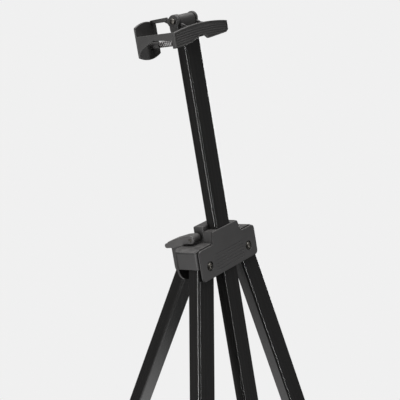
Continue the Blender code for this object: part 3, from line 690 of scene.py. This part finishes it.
def make_hub_body():
    """The moulding behind the face: leg pockets, mast channel, lock block, bolt lobes, rear ears and ribs."""
    slant = [
        (-HUB_HALF_WIDTH, BODY_BOTTOM),
        (HUB_HALF_WIDTH, BODY_BOTTOM),
        (HUB_HALF_WIDTH, BODY_TOP - 2.0),
        (HUB_HALF_WIDTH - 6.0, BODY_TOP),
        (6.0 - HUB_HALF_WIDTH, BODY_TOP),
        (-HUB_HALF_WIDTH, BODY_TOP - 2.0),
    ]
    depth = BODY_BACK - BODY_FRONT
    plan = rounded_box(2 * HUB_HALF_WIDTH, depth, 4.0, (0.0, BODY_FRONT + depth / 2), 10)
    hump = hump_outline(HUMP_HALF_BASE - 0.3, HUMP_HALF_TOP - 0.3, BAND_TOP - 2.0, HUMP_TOP)
    hump_back = MAST_FRONT + 11.0
    limit = prism(plan, BODY_BOTTOM - 2.0, BODY_TOP + 2.0, "Z")
    added = [
        prism(hump, BODY_FRONT, hump_back, "Y", edge=0.6),
        block((-23.5, hump_back - 1.0, BODY_TOP - 2.0), (24.0, BLOCK_BACK, BLOCK_TOP), edge=1.6),
    ]
    half_channel = MAST_WIDTH / 2 + 0.4
    half_shoe_room = 10.0
    cavity_half = HUB_HALF_WIDTH - 3.8
    cuts = [
        block((-half_channel, BODY_FRONT - 2.0, 0.0), (half_channel, MAST_BACK + 0.5, BLOCK_TOP + 5.0)),
        block((-half_shoe_room, MAST_BACK - 1.0, 37.2), (half_shoe_room, BLOCK_BACK - 2.0, 51.0)),
        rod(CAM_SHAFT_RADIUS + 0.3, CAM, -40.0, 15.0, "X"),
        block((-cavity_half, WEB_BACK, EAR_BOTTOM), (cavity_half, BACK_WALL_FRONT, POCKET_TOP)),
        rod(BOLT_HOLE_RADIUS, (REAR_PIVOT_Y, REAR_PIVOT_Z), -30.0, 30.0, "X"),
    ]
    for side in (-1, 1):
        pivot = (side * FRONT_PIVOT_X, FRONT_PIVOT_Z)
        added.append(prism(ear_outline(), side * EAR_INNER, side * EAR_OUTER, "X", edge=0.7))
        added.append(rod(WEB_LOBE_RADIUS, pivot, POCKET_BACK, WEB_BACK, "Y"))
        added.append(prism(arc(pivot, BACK_LOBE_RADIUS, 0, 355, 71), BACK_WALL_FRONT, BODY_BACK, "Y"))
        cuts.append(leg_pocket(side))
        cuts.append(rod(BOLT_HOLE_RADIUS, pivot, 10.0, BODY_BACK + 5.0, "Y"))
        low, high = sorted((side * (HUB_HALF_WIDTH + 1.0), side * (HUB_HALF_WIDTH - 0.6)))
        cuts.append(block((low, 0.0, BODY_TOP - 3.7), (high, 40.0, BODY_TOP - 2.9)))
        for row in range(3):
            front = 5.4 + 2.9 * row
            low, high = sorted((side * 30.0, side * (HUMP_HALF_BASE - 1.9)))
            cuts.append(block((low, front, BODY_TOP + 0.8), (high, front + 1.0, HUMP_TOP - 1.0)))
        for row in range(3):
            low, high = sorted((side * 46.0, side * 20.5))
            level = 21.0 + 4.2 * row
            cuts.append(block((low, BODY_BACK - 0.5, level), (high, BODY_BACK + 1.0, level + 1.6)))
    body = prism(slant, BODY_FRONT, BODY_BACK, "Y")
    head_piece("hub_moulding", body, "hub_plastic", "hub", ["hub_body"], add=added, cut=cuts, within=[limit])


def make_pivot_hardware():
    """Three socket bolts, each with its nut: two through the body, and one through both ears."""
    nut_start = BODY_BACK + 0.3
    for name, side in (("left", -1), ("right", 1)):
        centre = (side * FRONT_PIVOT_X, FRONT_PIVOT_Z)
        dome = [(0.8, -1.55), (1.9, -1.4), (2.9, -1.0), (3.6, -0.4), (4.0, 0.2), (BOLT_HEAD_RADIUS, 0.9)]
        shank = [(BOLT_HEAD_RADIUS, 1.4), (BOLT_RADIUS, 1.4), (BOLT_RADIUS, nut_start + NUT_HEIGHT + 1.0)]
        socket = prism(hexagon(centre, BOLT_SOCKET_ACROSS), -3.0, 0.3, "Y")
        bolt = turned(dome + shank, centre, "Y")
        head_piece(name + "_socket_bolt", bolt, "dark_steel", "hub", [name + "_pivot_bolt"], cut=[socket])
        make_nut(name + "_hex_nut", centre, nut_start, "Y", name + "_pivot_nut")
    centre = (REAR_PIVOT_Y, REAR_PIVOT_Z)
    end = -EAR_OUTER - 0.3
    profile = [(1.4, end - 2.7), (2.8, end - 2.4), (3.8, end - 1.7), (BOLT_HEAD_RADIUS, end - 0.8)]
    profile += [(BOLT_HEAD_RADIUS, end), (BOLT_RADIUS, end), (BOLT_RADIUS, EAR_OUTER + NUT_HEIGHT + 1.3)]
    socket = prism(hexagon(centre, BOLT_SOCKET_ACROSS), end - 4.0, end - 1.0, "X")
    bolt = turned(profile, centre, "X")
    head_piece("rear_socket_bolt", bolt, "dark_steel", "hub", ["rear_pivot_bolt"], cut=[socket])
    make_nut("rear_hex_nut", centre, EAR_OUTER + 0.3, "X", "rear_pivot_nut")


def make_nut(name, centre, low, axis, node):
    """A hexagon nut with chamfered corners."""
    high = low + NUT_HEIGHT
    chamfer = [(4.0, low), (4.7, low + 0.6), (4.7, high - 0.6), (4.0, high)]
    nut = prism(hexagon(centre, NUT_ACROSS), low, high, axis)
    hole = rod(BOLT_RADIUS + 0.1, centre, low - 2.0, high + 2.0, axis)
    head_piece(name, nut, "dark_steel", "hub", [node], within=[turned(chamfer, centre, axis)], cut=[hole])


def make_mast_lock():
    """The cam lever beside the mast: a round head on its shaft and a drooping blade with thumb ridges."""
    head_radius = 5.0
    outline = arc(CAM, head_radius, 75, 285, 24)
    outline += [(CAM_Y + 9.0, CAM_Z - 5.4), (CAM_Y + 27.0, CAM_Z - 9.8)]
    outline += arc((CAM_Y + 35.4, CAM_Z - 7.6), 2.8, -90, 80, 10)
    outline += [(CAM_Y + 22.0, CAM_Z + 0.6), (CAM_Y + 9.0, CAM_Z + 4.0)]
    ridges = []
    for row in range(4):
        y = CAM_Y + 23.0 + 3.4 * row
        z = CAM_Z + 0.4 - 0.36 * (y - CAM_Y - 22.0)
        ridges.append(rod(0.55, (y, z), CAM_LEVER_LEFT + 1.4, CAM_LEVER_RIGHT - 1.4, "X", 16))
    bore = rod(CAM_SHAFT_RADIUS + 0.1, CAM, -40.0, -20.0, "X")
    lever = prism(outline, CAM_LEVER_LEFT, CAM_LEVER_RIGHT, "X", edge=1.2)
    head_piece("cam_lever_blade", lever, "lever_plastic", "mast_lever", ["cam_lever"], add=ridges, cut=[bore])


# Tubes


def tube_mesh(width, depth, corner, wall, low, high):
    """A rectangular tube with round corners and softly broken end edges."""
    outer = rounded_box(width, depth, corner)
    inner = rounded_box(width - 2 * wall, depth - 2 * wall, corner - wall / 2)
    end = [(x * 0.985, y * 0.975) for x, y in outer]
    lip = 0.25
    rings = [
        place_points(outer, low + lip, "Z"),
        place_points(outer, high - lip, "Z"),
        place_points(end, high, "Z"),
        place_points(inner, high, "Z"),
        place_points(inner, low, "Z"),
        place_points(end, low, "Z"),
    ]
    return join_rings(rings, closed=True)


def make_mast():
    place = HEAD @ Matrix.Translation((0.0, (MAST_FRONT + MAST_DEPTH / 2) * MM, 0.0))
    mast = tube_mesh(MAST_WIDTH, MAST_DEPTH, MAST_CORNER, TUBE_WALL, MAST_BOTTOM, MAST_TOP)
    piece("mast_tube_shell", mast, "tube_black", place, "mast", ["mast_tube"])
    spigot = (MAST_WIDTH - 2.8, MAST_DEPTH - 2.8, 1.4)
    steps = [
        (MAST_BOTTOM - 4.0, MAST_WIDTH - 3.0, MAST_DEPTH - 3.0, 1.6),
        (MAST_BOTTOM - 3.6, MAST_WIDTH - 1.4, MAST_DEPTH - 1.4, 1.9),
        (MAST_BOTTOM - 2.6, MAST_WIDTH, MAST_DEPTH, MAST_CORNER),
        (MAST_BOTTOM - 0.2, MAST_WIDTH, MAST_DEPTH, MAST_CORNER),
        (MAST_BOTTOM - 0.2, *spigot),
        (MAST_BOTTOM + 18.0, *spigot),
    ]
    plug = join_rings(box_rings(steps))
    piece("mast_end_plug", plug, "hub_plastic", place, "mast", ["mast_bottom_plug"])


# Canvas clamp


def make_clamp_body():
    """The socket on the mast's top, with the pin's barrel above it and the spring's seat beside it."""
    centre_y = (CLAMP_FRONT + CLAMP_BACK) / 2
    outline = rounded_box(2 * CLAMP_HALF_WIDTH, CLAMP_BACK - CLAMP_FRONT, 2.4, (0.0, centre_y))
    knuckle = [(CLAMP_PIN_Y + KNUCKLE_RADIUS, CLAMP_TOP - 2.0)]
    knuckle += arc(CLAMP_PIN, KNUCKLE_RADIUS, 0, 180, 28)
    knuckle += [(CLAMP_PIN_Y - KNUCKLE_RADIUS, CLAMP_TOP - 2.0)]
    seat_low = (-30.5, SEAT_FRONT, 251.6)
    seat_high = (1.0 - CLAMP_HALF_WIDTH, SEAT_BACK, 262.2)
    added = [
        prism(knuckle, -KNUCKLE_HALF_WIDTH, KNUCKLE_HALF_WIDTH, "X", edge=0.5),
        block(seat_low, seat_high, edge=0.8),
    ]
    half_width = MAST_WIDTH / 2 + 0.2
    cuts = [
        block((-half_width, MAST_FRONT - 0.2, 240.0), (half_width, MAST_BACK + 0.2, MAST_TOP + 0.2)),
        rod(CLAMP_PIN_HOLE_RADIUS, CLAMP_PIN, -20.0, 20.0, "X"),
    ]
    groove_half = CLAMP_HALF_WIDTH + 1.0
    for low, high in ((256.5, 257.6), (265.0, 266.1)):
        cuts.append(block((-groove_half, CLAMP_BACK - 0.5, low), (groove_half, CLAMP_BACK + 1.0, high)))
    body = prism(outline, CLAMP_BOTTOM, CLAMP_TOP, "Z", edge=0.8)
    head_piece("clamp_socket", body, "clamp_plastic", "mast", ["clamp_body"], add=added, cut=cuts)
    left_head = [(1.2, -22.5), (2.4, -22.3), (3.2, -21.6), (3.4, -20.9), (3.4, -19.7)]
    shank = [(CLAMP_PIN_RADIUS, -19.7), (CLAMP_PIN_RADIUS, 15.7)]
    right_head = [(3.4, 15.7), (3.4, 17.0), (3.2, 17.6), (2.4, 18.1), (1.2, 18.3)]
    pin = turned(left_head + shank + right_head, CLAMP_PIN, "X")
    head_piece("clamp_hinge_pin", pin, "dark_steel", "mast", ["clamp_pin"])


def jaw_top(x):
    return JAW_END + JAW_RISE * (1 - (x / JAW_HALF_WIDTH) ** 2)


def jaw_outline(inset=0.0):
    """Front view of the jaw: a bowed top, a finger notch under its middle and a raked right foot."""
    left = inset - JAW_HALF_WIDTH
    right = JAW_HALF_WIDTH - inset
    points = []
    for step in range(25):
        x = right + (left - right) * step / 24
        points.append((x, jaw_top(x) - inset))
    low = JAW_BOTTOM + inset
    points += [(left, low + 1.0), (left + 1.0, low), (-29.0, low + 0.3), (-20.0, low + 1.3)]
    points += [(-13.4, low + 2.9), (-8.0, low + 5.0), (-4.0, low + 6.5), (-0.5, low + 7.1)]
    points += [(3.5, low + 6.3), (7.0, low + 4.1), (9.5, low + 2.0), (11.0, low + 1.5)]
    points += [(JAW_HALF_WIDTH - 4.0, low + 3.1), (right, low + 5.6)]
    return points


def jaw_ear_outline():
    """Side view of the ears that carry the jaw on the pin: a disc above a low web."""
    points = arc(CLAMP_PIN, 6.9, -50, 205, 30)
    points += [(JAW_BACK + 3.0, 270.6), (JAW_BACK - 1.0, 269.0), (JAW_BACK - 1.0, 263.0)]
    points += [(CLAMP_FRONT - 0.8, 263.0), (CLAMP_FRONT - 0.8, 268.6), (CLAMP_FRONT - 0.4, 272.4)]
    points += [(CLAMP_PIN_Y, 272.4)]
    return points


def jaw_rib(level):
    """One low rib across the jaw's face, bowed like its top and stopped short of the rim."""
    half = JAW_HALF_WIDTH - 2.0
    count = 20
    upper = []
    lower = []
    for step in range(count + 1):
        x = -half + 2 * half * step / count
        middle = level + 0.6 * JAW_RISE * (1 - (x / JAW_HALF_WIDTH) ** 2)
        upper.append((x, middle + 0.55))
        lower.append((x, middle - 0.55))
    return prism(lower + upper[::-1], JAW_FRONT + 0.25, JAW_PANEL + 0.4, "Y")


def make_jaw():
    """The bar that grips the canvas edge: a ribbed panel inside a raised rim."""
    ears = [prism(jaw_ear_outline(), side * 12.0, side * 15.4, "X", edge=0.5) for side in (-1, 1)]
    bore = rod(CLAMP_PIN_HOLE_RADIUS, CLAMP_PIN, -25.0, 25.0, "X")
    panel = prism(jaw_outline(JAW_RIM), JAW_FRONT - 1.0, JAW_PANEL, "Y")
    jaw = prism(jaw_outline(), JAW_FRONT, JAW_BACK, "Y", edge=0.7)
    head_piece("jaw_bar", jaw, "clamp_plastic", "jaw", ["front_jaw"], add=ears, cut=[bore, panel])
    for row in range(5):
        rib = jaw_rib(256.6 + 2.4 * row)
        limit = prism(jaw_outline(0.6), JAW_FRONT - 1.0, JAW_BACK, "Y")
        head_piece("jaw_rib_%d" % (row + 1), rib, "clamp_plastic", "jaw", within=[limit])
    grooves = []
    for row in range(4):
        level = 264.0 + 1.5 * row
        grooves.append(block((-12.0, -0.3, level), (12.0, 0.5, level + 0.6)))
    pad = block((-11.4, JAW_BACK + 0.1, 262.6), (11.4, CLAMP_FRONT - 0.3, 271.0), edge=0.5)
    head_piece("jaw_grip_pad", pad, "black_rubber", "jaw", ["jaw_pad"], cut=grooves)


def squeeze_plate_outline():
    """Back view of the squeeze plate: a bowed top and a round tongue hanging below."""
    middle = (LOOP_LEFT + LOOP_RIGHT) / 2
    half = (LOOP_RIGHT - LOOP_LEFT) / 2
    shares = [1 - step / 8 for step in range(17)]
    top = [(middle + half * share, LOOP_TOP + LOOP_BOW * (1 - share**2)) for share in shares]
    bottom = [(middle - half * share, LOOP_BOTTOM - LOOP_BOW * (1 - share**2)) for share in shares]
    return top + bottom


def make_loop():
    """The squeeze plate behind the mast, with the arms that tie it to the jaw and to the pin."""
    inside = LOOP_FRONT + 1.0
    arm = [(JAW_BACK + 0.3, 261.0), (19.0, 263.6), (36.0, 255.4), (inside, 248.2)]
    arm += [(inside, 269.4), (JAW_BACK + 0.3, 269.6)]
    top_bar = [(18.0, 279.6), (inside, 279.4), (inside, 283.2), (18.0, 284.2)]
    bracket = arc(CLAMP_PIN, 7.0, 30, 220, 24)
    bracket += [(5.0, 268.2), (14.8, 268.2), (15.6, 269.2), (15.6, 274.4)]
    bracket += [(17.6, 277.4), (21.5, 279.4), (24.0, 284.0)]
    flange = [(JAW_BACK + 0.3, 268.4), (inside, 268.2), (inside, 269.4), (JAW_BACK + 0.3, 269.6)]
    boss = [(BOSS_RADIUS, BOSS_FRONT), (BOSS_RADIUS, 36.0), (BOSS_RADIUS + 1.0, inside)]
    added = [
        prism(arm, LOOP_LEFT, LOOP_LEFT + ARM_THICKNESS, "X", edge=0.6),
        prism(flange, LOOP_LEFT + 0.1, LOOP_LEFT + 3.8, "X"),
        prism(top_bar, -20.4, -16.0, "X", edge=0.8),
        prism(bracket, -19.4, -15.8, "X", edge=0.6),
        turned(boss, (SPRING_X, SPRING_Z), "Y"),
        turned([(5.4, -19.9), (5.0, -19.3)], CLAMP_PIN, "X"),
    ]
    cuts = [rod(CLAMP_PIN_HOLE_RADIUS, CLAMP_PIN, -25.0, 25.0, "X")]
    for row in range(4):
        level = 250.0 + 3.4 * row
        groove_end = (LOOP_RIGHT - 6.0, LOOP_BACK + 1.0, level + 1.2)
        cuts.append(block((LOOP_LEFT + 6.0, LOOP_BACK - 0.5, level), groove_end))
    plate = prism(squeeze_plate_outline(), LOOP_FRONT, LOOP_BACK, "Y", edge=1.0)
    head_piece("squeeze_loop", plate, "clamp_plastic", "jaw", ["jaw_loop"], add=added, cut=cuts)


def make_spring():
    """The wire spring between the seat on the mast and the boss of the squeeze plate."""
    rings = []
    per_turn = 20
    sides = 10
    closed_turns = 1.0
    total_turns = SPRING_TURNS + 2 * closed_turns
    steps = int(total_turns * per_turn)
    dead = 2 * SPRING_WIRE + 0.05
    for step in range(steps + 1):
        turn = step / per_turn
        angle = 2 * math.pi * turn
        if turn < closed_turns:
            along = SPRING_LOW + dead * turn
        elif turn > total_turns - closed_turns:
            along = SPRING_HIGH - dead * (total_turns - turn)
        else:
            share = (turn - closed_turns) / SPRING_TURNS
            along = SPRING_LOW + dead + (SPRING_HIGH - SPRING_LOW - 2 * dead) * share
        outward = Vector((math.cos(angle), 0.0, math.sin(angle)))
        forward = Vector((-math.sin(angle), 0.12, math.cos(angle))).normalized()
        across = outward.cross(forward)
        middle = outward * SPRING_RADIUS + Vector((SPRING_X, along, SPRING_Z))
        ring = []
        for side in range(sides):
            spin = 2 * math.pi * side / sides
            ring.append(middle + SPRING_WIRE * (math.cos(spin) * outward + math.sin(spin) * across))
        rings.append(ring)
    wire = head_piece("clamp_spring", join_rings(rings), "spring_steel", "mast", ["jaw_spring"])
    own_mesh(wire)


# Canvas ledge


def make_ledge():
    """The shelf that the canvas stands on, its lip, ribs and sliding collar."""
    centre_y = (MAST_FRONT + MAST_BACK) / 2
    collar = rounded_box(MAST_WIDTH + 10.0, MAST_DEPTH + 6.4, 2.6, (0.0, centre_y))
    lip = [(LEDGE_REACH, LEDGE_BOTTOM), (LEDGE_REACH, LEDGE_Z + 10.6), (LEDGE_REACH + 0.6, LEDGE_Z + 11.6)]
    lip += [(LEDGE_REACH + 1.5, LEDGE_Z + 12.0), (LEDGE_REACH + 3.0, LEDGE_Z + 11.4)]
    lip += [(LEDGE_REACH + 3.0, LEDGE_Z), (1.0, LEDGE_Z), (1.0, LEDGE_BOTTOM)]
    ribs = []
    for x in (-62.0, -30.0, 30.0, 62.0):
        rib = [(LEDGE_REACH + 1.0, LEDGE_BOTTOM + 1.0), (0.9, LEDGE_BOTTOM + 1.0)]
        rib += [(0.9, LEDGE_BOTTOM - 7.0), (LEDGE_REACH + 8.0, LEDGE_BOTTOM - 2.0)]
        ribs.append(prism(rib, x - 1.4, x + 1.4, "X", edge=0.4))
    half_width = MAST_WIDTH / 2 + 0.3
    cuts = [
        block((-half_width, MAST_FRONT - 0.3, LEDGE_Z - 40.0), (half_width, MAST_BACK + 0.3, LEDGE_Z + 40.0)),
        rod(2.7, (0.0, LEDGE_KNOB_Z), -3.0, MAST_FRONT, "Y"),
    ]
    for row in range(3):
        level = LEDGE_Z - 21.0 + 6.0 * row
        cuts.append(block((-14.0, MAST_BACK + 2.7, level), (14.0, MAST_BACK + 5.0, level + 1.6)))
    body = prism(collar, LEDGE_Z - 27.0, LEDGE_Z + 13.0, "Z", edge=1.0)
    shelf = prism(lip, -LEDGE_HALF_WIDTH, LEDGE_HALF_WIDTH, "X", edge=0.6)
    head_piece("canvas_shelf", body, "hub_plastic", "ledge", ["canvas_ledge"], add=[shelf, *ribs], cut=cuts)
    grooves = []
    for row in range(6):
        y = LEDGE_REACH + 6.0 + 4.2 * row
        grooves.append(block((-92.0, y, LEDGE_Z + 1.4), (92.0, y + 1.4, LEDGE_Z + 3.0)))
    pad = block((-90.0, LEDGE_REACH + 3.5, LEDGE_Z + 0.1), (90.0, -0.9, LEDGE_Z + 2.0), edge=0.4)
    head_piece("shelf_grip_strip", pad, "black_rubber", "ledge", ["ledge_pad"], cut=grooves)
    points = []
    for step in range(96):
        angle = 2 * math.pi * step / 96
        radius = LEDGE_KNOB_RADIUS - LEDGE_KNOB_WAVE + LEDGE_KNOB_WAVE * math.cos(6 * angle)
        points.append((radius * math.cos(angle), LEDGE_KNOB_Z + radius * math.sin(angle)))
    cap = turned([(4.6, -15.0), (5.2, -13.2), (6.6, -13.2), (6.6, -15.0)], (0.0, LEDGE_KNOB_Z), "Y")
    screw = rod(2.4, (0.0, LEDGE_KNOB_Z), -4.0, MAST_FRONT - 0.3, "Y")
    knob = prism(points, -14.0, -2.2, "Y", edge=1.3)
    head_piece("shelf_knob", knob, "lever_plastic", "ledge_screw", ["ledge_knob"], add=[screw], cut=[cap])


# Legs


def floor_ring(outline, place, lift=0.0):
    """An outline in the leg's frame, pushed along the leg until it lies on the floor."""
    along = place.to_3x3() @ Vector((0.0, 0.0, 1.0))
    ring = []
    for x, y in outline:
        start = place @ (Vector((x, y, 0.0)) * MM)
        ring.append(Vector((x, y, (lift * MM - start.z) / along.z / MM)))
    return ring


def make_upper_leg(name, place):
    top = REAR_UPPER_TOP if name == "rear" else UPPER_TOP
    tube = tube_mesh(LEG_WIDTH, LEG_DEPTH, LEG_CORNER, TUBE_WALL, UPPER_BOTTOM, top)
    cuts = [] if name == "rear" else [rod(BOLT_HOLE_RADIUS, (0.0, 0.0), -20.0, 20.0, "Y")]
    nodes = [name + "_upper_tube"]
    piece(name + "_upper_tube_shell", tube, "tube_black", place, name + "_leg_upper", nodes, cut=cuts)


def make_lower_leg(name, place):
    floor_level = floor_ring([(0.0, 0.0)], place)[0].z
    tube_end = floor_level + FOOT_SOLE + 0.3
    tube = tube_mesh(LOWER_WIDTH, LOWER_DEPTH, LOWER_CORNER, LOWER_WALL, tube_end, tube_end + LOWER_LENGTH)
    body = name + "_leg_lower"
    piece(name + "_lower_tube_shell", tube, "tube_black", place, body, [name + "_lower_tube"])


def make_foot(name, place):
    """A rubber foot cut level at the floor, with a rolled top and grip rings round its sides."""
    floor_level = floor_ring([(0.0, 0.0)], place)[0].z
    outline = rounded_box(FOOT_WIDTH, FOOT_DEPTH, 4.0)
    waist = rounded_box(FOOT_WIDTH - 1.2, FOOT_DEPTH - 1.2, 3.5)
    rings = [
        floor_ring(rounded_box(FOOT_WIDTH - 1.6, FOOT_DEPTH - 1.6, 3.2), place),
        floor_ring(outline, place, 1.0),
        floor_ring(outline, place, 4.0),
    ]
    for row in range(3):
        base = 5.0 + 3.4 * row
        rings += [
            floor_ring(waist, place, base),
            floor_ring(waist, place, base + 1.0),
            floor_ring(outline, place, base + 1.8),
            floor_ring(outline, place, base + 2.8),
        ]
    bore = (LOWER_WIDTH + 0.4, LOWER_DEPTH + 0.4, LOWER_CORNER)
    top = floor_level + FOOT_HEIGHT
    rings += box_rings(
        [
            (top - 7.0, FOOT_WIDTH - 1.8, FOOT_DEPTH - 1.8, 3.4),
            (top - 5.0, FOOT_WIDTH, FOOT_DEPTH, 4.0),
            (top - 1.6, FOOT_WIDTH, FOOT_DEPTH, 4.0),
            (top - 0.4, FOOT_WIDTH - 1.0, FOOT_DEPTH - 1.0, 3.6),
            (top, FOOT_WIDTH - 2.4, FOOT_DEPTH - 2.4, 3.0),
            (top, *bore),
            (floor_level + FOOT_SOLE, *bore),
        ]
    )
    foot = join_rings(rings)
    piece(name + "_rubber_foot", foot, "black_rubber", place, name + "_leg_lower", [name + "_foot"])


def make_leg_lock(name, place):
    """The collar at the end of an upper tube, and the flip lever that pinches the lower tube."""
    large = (LEG_WIDTH + 0.3, LEG_DEPTH + 0.3, LEG_CORNER)
    small = (LOWER_WIDTH + 0.5, LOWER_DEPTH + 0.5, LOWER_CORNER)
    seat = UPPER_BOTTOM - 0.2
    grip = 0.7
    outer = (COLLAR_WIDTH, COLLAR_DEPTH, 4.0)
    slim = (COLLAR_WIDTH - grip, COLLAR_DEPTH - grip, 3.8)
    rim = (COLLAR_WIDTH - 1.6, COLLAR_DEPTH - 1.6, 3.4)
    steps = [(COLLAR_TOP, *rim), (COLLAR_TOP - 0.6, *slim)]
    steps += [(COLLAR_TOP - 1.4, *outer), (COLLAR_TOP - 7.0, *outer)]
    for row in range(5):
        level = COLLAR_TOP - 8.0 - 3.6 * row
        steps += [(level, *slim), (level - 1.2, *slim), (level - 1.8, *outer), (level - 3.0, *outer)]
    steps += [(COLLAR_BOTTOM + 1.4, *outer), (COLLAR_BOTTOM + 0.6, *slim), (COLLAR_BOTTOM, *rim)]
    steps += [(COLLAR_BOTTOM, *small), (seat, *small), (seat, *large), (COLLAR_TOP, *large)]
    root = COLLAR_DEPTH / 2 - 0.9
    lug = [(root, LOCK_Z + 8.0), (root, COLLAR_BOTTOM + 1.0), (LOCK_Y + 1.0, COLLAR_BOTTOM + 1.5)]
    lug += arc(LOCK_PIN, 4.0, -50, 90, 14)
    lugs = [prism(lug, side * 7.6, side * 10.2, "X", edge=0.4) for side in (-1, 1)]
    hole = rod(LOCK_PIN_HOLE_RADIUS, LOCK_PIN, -20.0, 20.0, "X")
    collar = join_rings(box_rings(steps), closed=True)
    body = name + "_leg_upper"
    nodes = [name + "_lock_collar"]
    piece(name + "_lock_sleeve", collar, "hub_plastic", place, body, nodes, add=lugs, cut=[hole])
    profile = [(0.9, -10.6), (LOCK_PIN_RADIUS, -10.3), (LOCK_PIN_RADIUS, 10.3), (0.9, 10.6)]
    pin = turned(profile, LOCK_PIN, "X", 24)
    piece(name + "_lock_rivet", pin, "dark_steel", place, body, [name + "_lock_pin"])
    outline = arc((0.0, 0.0), 3.7, 180, 350, 20)
    outline += [(3.0, 12.0), (4.2, 36.0)]
    outline += arc((2.6, 37.0), 1.6, 0, 180, 8)
    outline += [(0.0, 34.0), (-1.2, 12.0), (-3.0, 3.0)]
    outline = [(LOCK_Y + y, LOCK_Z + z) for y, z in outline]
    ridges = [rod(0.5, (LOCK_Y + 3.9, LOCK_Z + 27.0 + 2.4 * row), -6.0, 6.0, "X", 12) for row in range(4)]
    bore = rod(LOCK_PIN_HOLE_RADIUS, LOCK_PIN, -20.0, 20.0, "X")
    lever = prism(outline, -LOCK_LEVER_HALF_WIDTH, LOCK_LEVER_HALF_WIDTH, "X", edge=0.7)
    body = name + "_leg_lock"
    nodes = [name + "_lock_lever"]
    piece(name + "_flip_lever", lever, "lever_plastic", place, body, nodes, add=ridges, cut=[bore])


# Studio


def make_backdrop_world():
    """A dim room with a bright ceiling; what the camera sees past the floor is plain and pale."""
    world = bpy.data.worlds.new("studio")
    bpy.context.scene.world = world
    world.use_nodes = True
    tree = world.node_tree
    background = tree.nodes["Background"]
    direction = add_node(tree, "ShaderNodeTexCoord").outputs["Generated"]
    parts = add_node(tree, "ShaderNodeSeparateXYZ")
    tree.links.new(direction, parts.inputs["Vector"])
    room = add_node(tree, "ShaderNodeValToRGB")
    ramp = room.color_ramp
    ramp.elements[0].position = 0.42
    ramp.elements[0].color = (0.10, 0.10, 0.10, 1.0)
    ramp.elements[1].position = 1.0
    ramp.elements[1].color = (1.0, 1.0, 1.0, 1.0)
    middle = ramp.elements.new(0.62)
    middle.color = (0.16, 0.16, 0.16, 1.0)
    tree.links.new(spread(tree, parts.outputs["Z"], -1.0, 1.0, 0.0, 1.0), room.inputs["Fac"])
    seen = add_node(tree, "ShaderNodeLightPath").outputs["Is Camera Ray"]
    colour = blend_colours(tree, seen, room.outputs["Color"], (BACKDROP, BACKDROP, BACKDROP))
    tree.links.new(colour, background.inputs["Color"])


def make_floor():
    """A round pale floor whose rim fades into the backdrop."""
    mesh = bmesh.new()
    bmesh.ops.create_circle(mesh, cap_ends=True, radius=2.6, segments=128)
    floor = link_object("studio_floor", mesh, Matrix.Translation((0.0, 0.0, -0.0005)))
    material, tree, shader = new_finish("pale_floor")
    marks = place_group(tree, GRAIN, Size=30.0, Relief=0.2)
    colour = blend_colours(tree, marks.outputs["Tone"], (0.83, 0.83, 0.83), (0.86, 0.86, 0.86))
    tree.links.new(colour, shader.inputs["Base Color"])
    shader.inputs["Roughness"].default_value = 0.7
    shader.inputs["Specular IOR Level"].default_value = 0.1
    reach = add_node(tree, "ShaderNodeVectorMath", operation="LENGTH")
    tree.links.new(surface_place(tree), reach.inputs[0])
    tree.links.new(spread(tree, reach.outputs["Value"], 0.5, 1.05, 1.0, 0.0), shader.inputs["Alpha"])
    floor.data.materials.append(material)


def add_softbox(name, direction, distance, width, height, energy):
    """An area light at a distance from the head's origin, facing it."""
    data = bpy.data.lights.new(name, "AREA")
    data.shape = "RECTANGLE"
    data.size = width
    data.size_y = height
    data.energy = energy
    lamp = bpy.data.objects.new(name, data)
    away = Vector(direction).normalized()
    lamp.location = HEAD.translation + away * distance
    lamp.rotation_mode = "QUATERNION"
    lamp.rotation_quaternion = away.to_track_quat("Z", "Y")
    bpy.context.scene.collection.objects.link(lamp)


def make_lights():
    """A wide soft ceiling, and tall thin boxes that draw a light line down the tubes' corners."""
    add_softbox("ceiling_box", (0.05, 0.05, 1.0), distance=2.3, width=2.6, height=2.6, energy=92.0)
    add_softbox("left_box", (-0.96, 0.17, -0.15), distance=2.0, width=0.14, height=1.4, energy=37.0)
    add_softbox("front_box", (0.44, -0.88, -0.15), distance=2.0, width=0.09, height=1.4, energy=15.0)
    add_softbox("right_box", (0.97, 0.12, -0.02), distance=2.0, width=0.25, height=1.3, energy=14.0)


def make_camera():
    data = bpy.data.cameras.new("view")
    data.sensor_width = 36.0
    data.lens = LENS
    data.clip_start = 0.05
    data.clip_end = 50.0
    camera = bpy.data.objects.new("view", data)
    towards = EYE_RIGHT.cross(EYE_UP)
    camera.matrix_world = axes_matrix(HEAD.translation + EYE_OFFSET, EYE_RIGHT, EYE_UP, towards)
    bpy.context.scene.collection.objects.link(camera)
    bpy.context.scene.camera = camera


# The easel


def finish_kept_nodes():
    """Frame parts that keep their own shape get this scene's finish for their slot."""
    slots = {
        "_slide_bush": "hub_plastic",
        "_top_plug": "hub_plastic",
        "_shoe": "hub_plastic",
        "_shaft": "dark_steel",
    }
    for name, node in frame["nodes"].items():
        for ending, finish in slots.items():
            if name.endswith(ending):
                node.data.materials.clear()
                node.data.materials.append(FINISHES[finish])


make_camera()
make_backdrop_world()
make_floor()
make_lights()
bpy.context.scene.view_settings.view_transform = "Standard"

make_front_plate()
make_hub_body()
make_pivot_hardware()
make_mast_lock()
make_mast()
make_clamp_body()
make_jaw()
make_loop()
make_spring()
make_ledge()
for leg_name in ("left", "right", "rear"):
    leg_place = leg_matrix(leg_name)
    make_upper_leg(leg_name, leg_place)
    make_lower_leg(leg_name, leg_place)
    make_foot(leg_name, leg_place)
    make_leg_lock(leg_name, leg_place)
finish_kept_nodes()
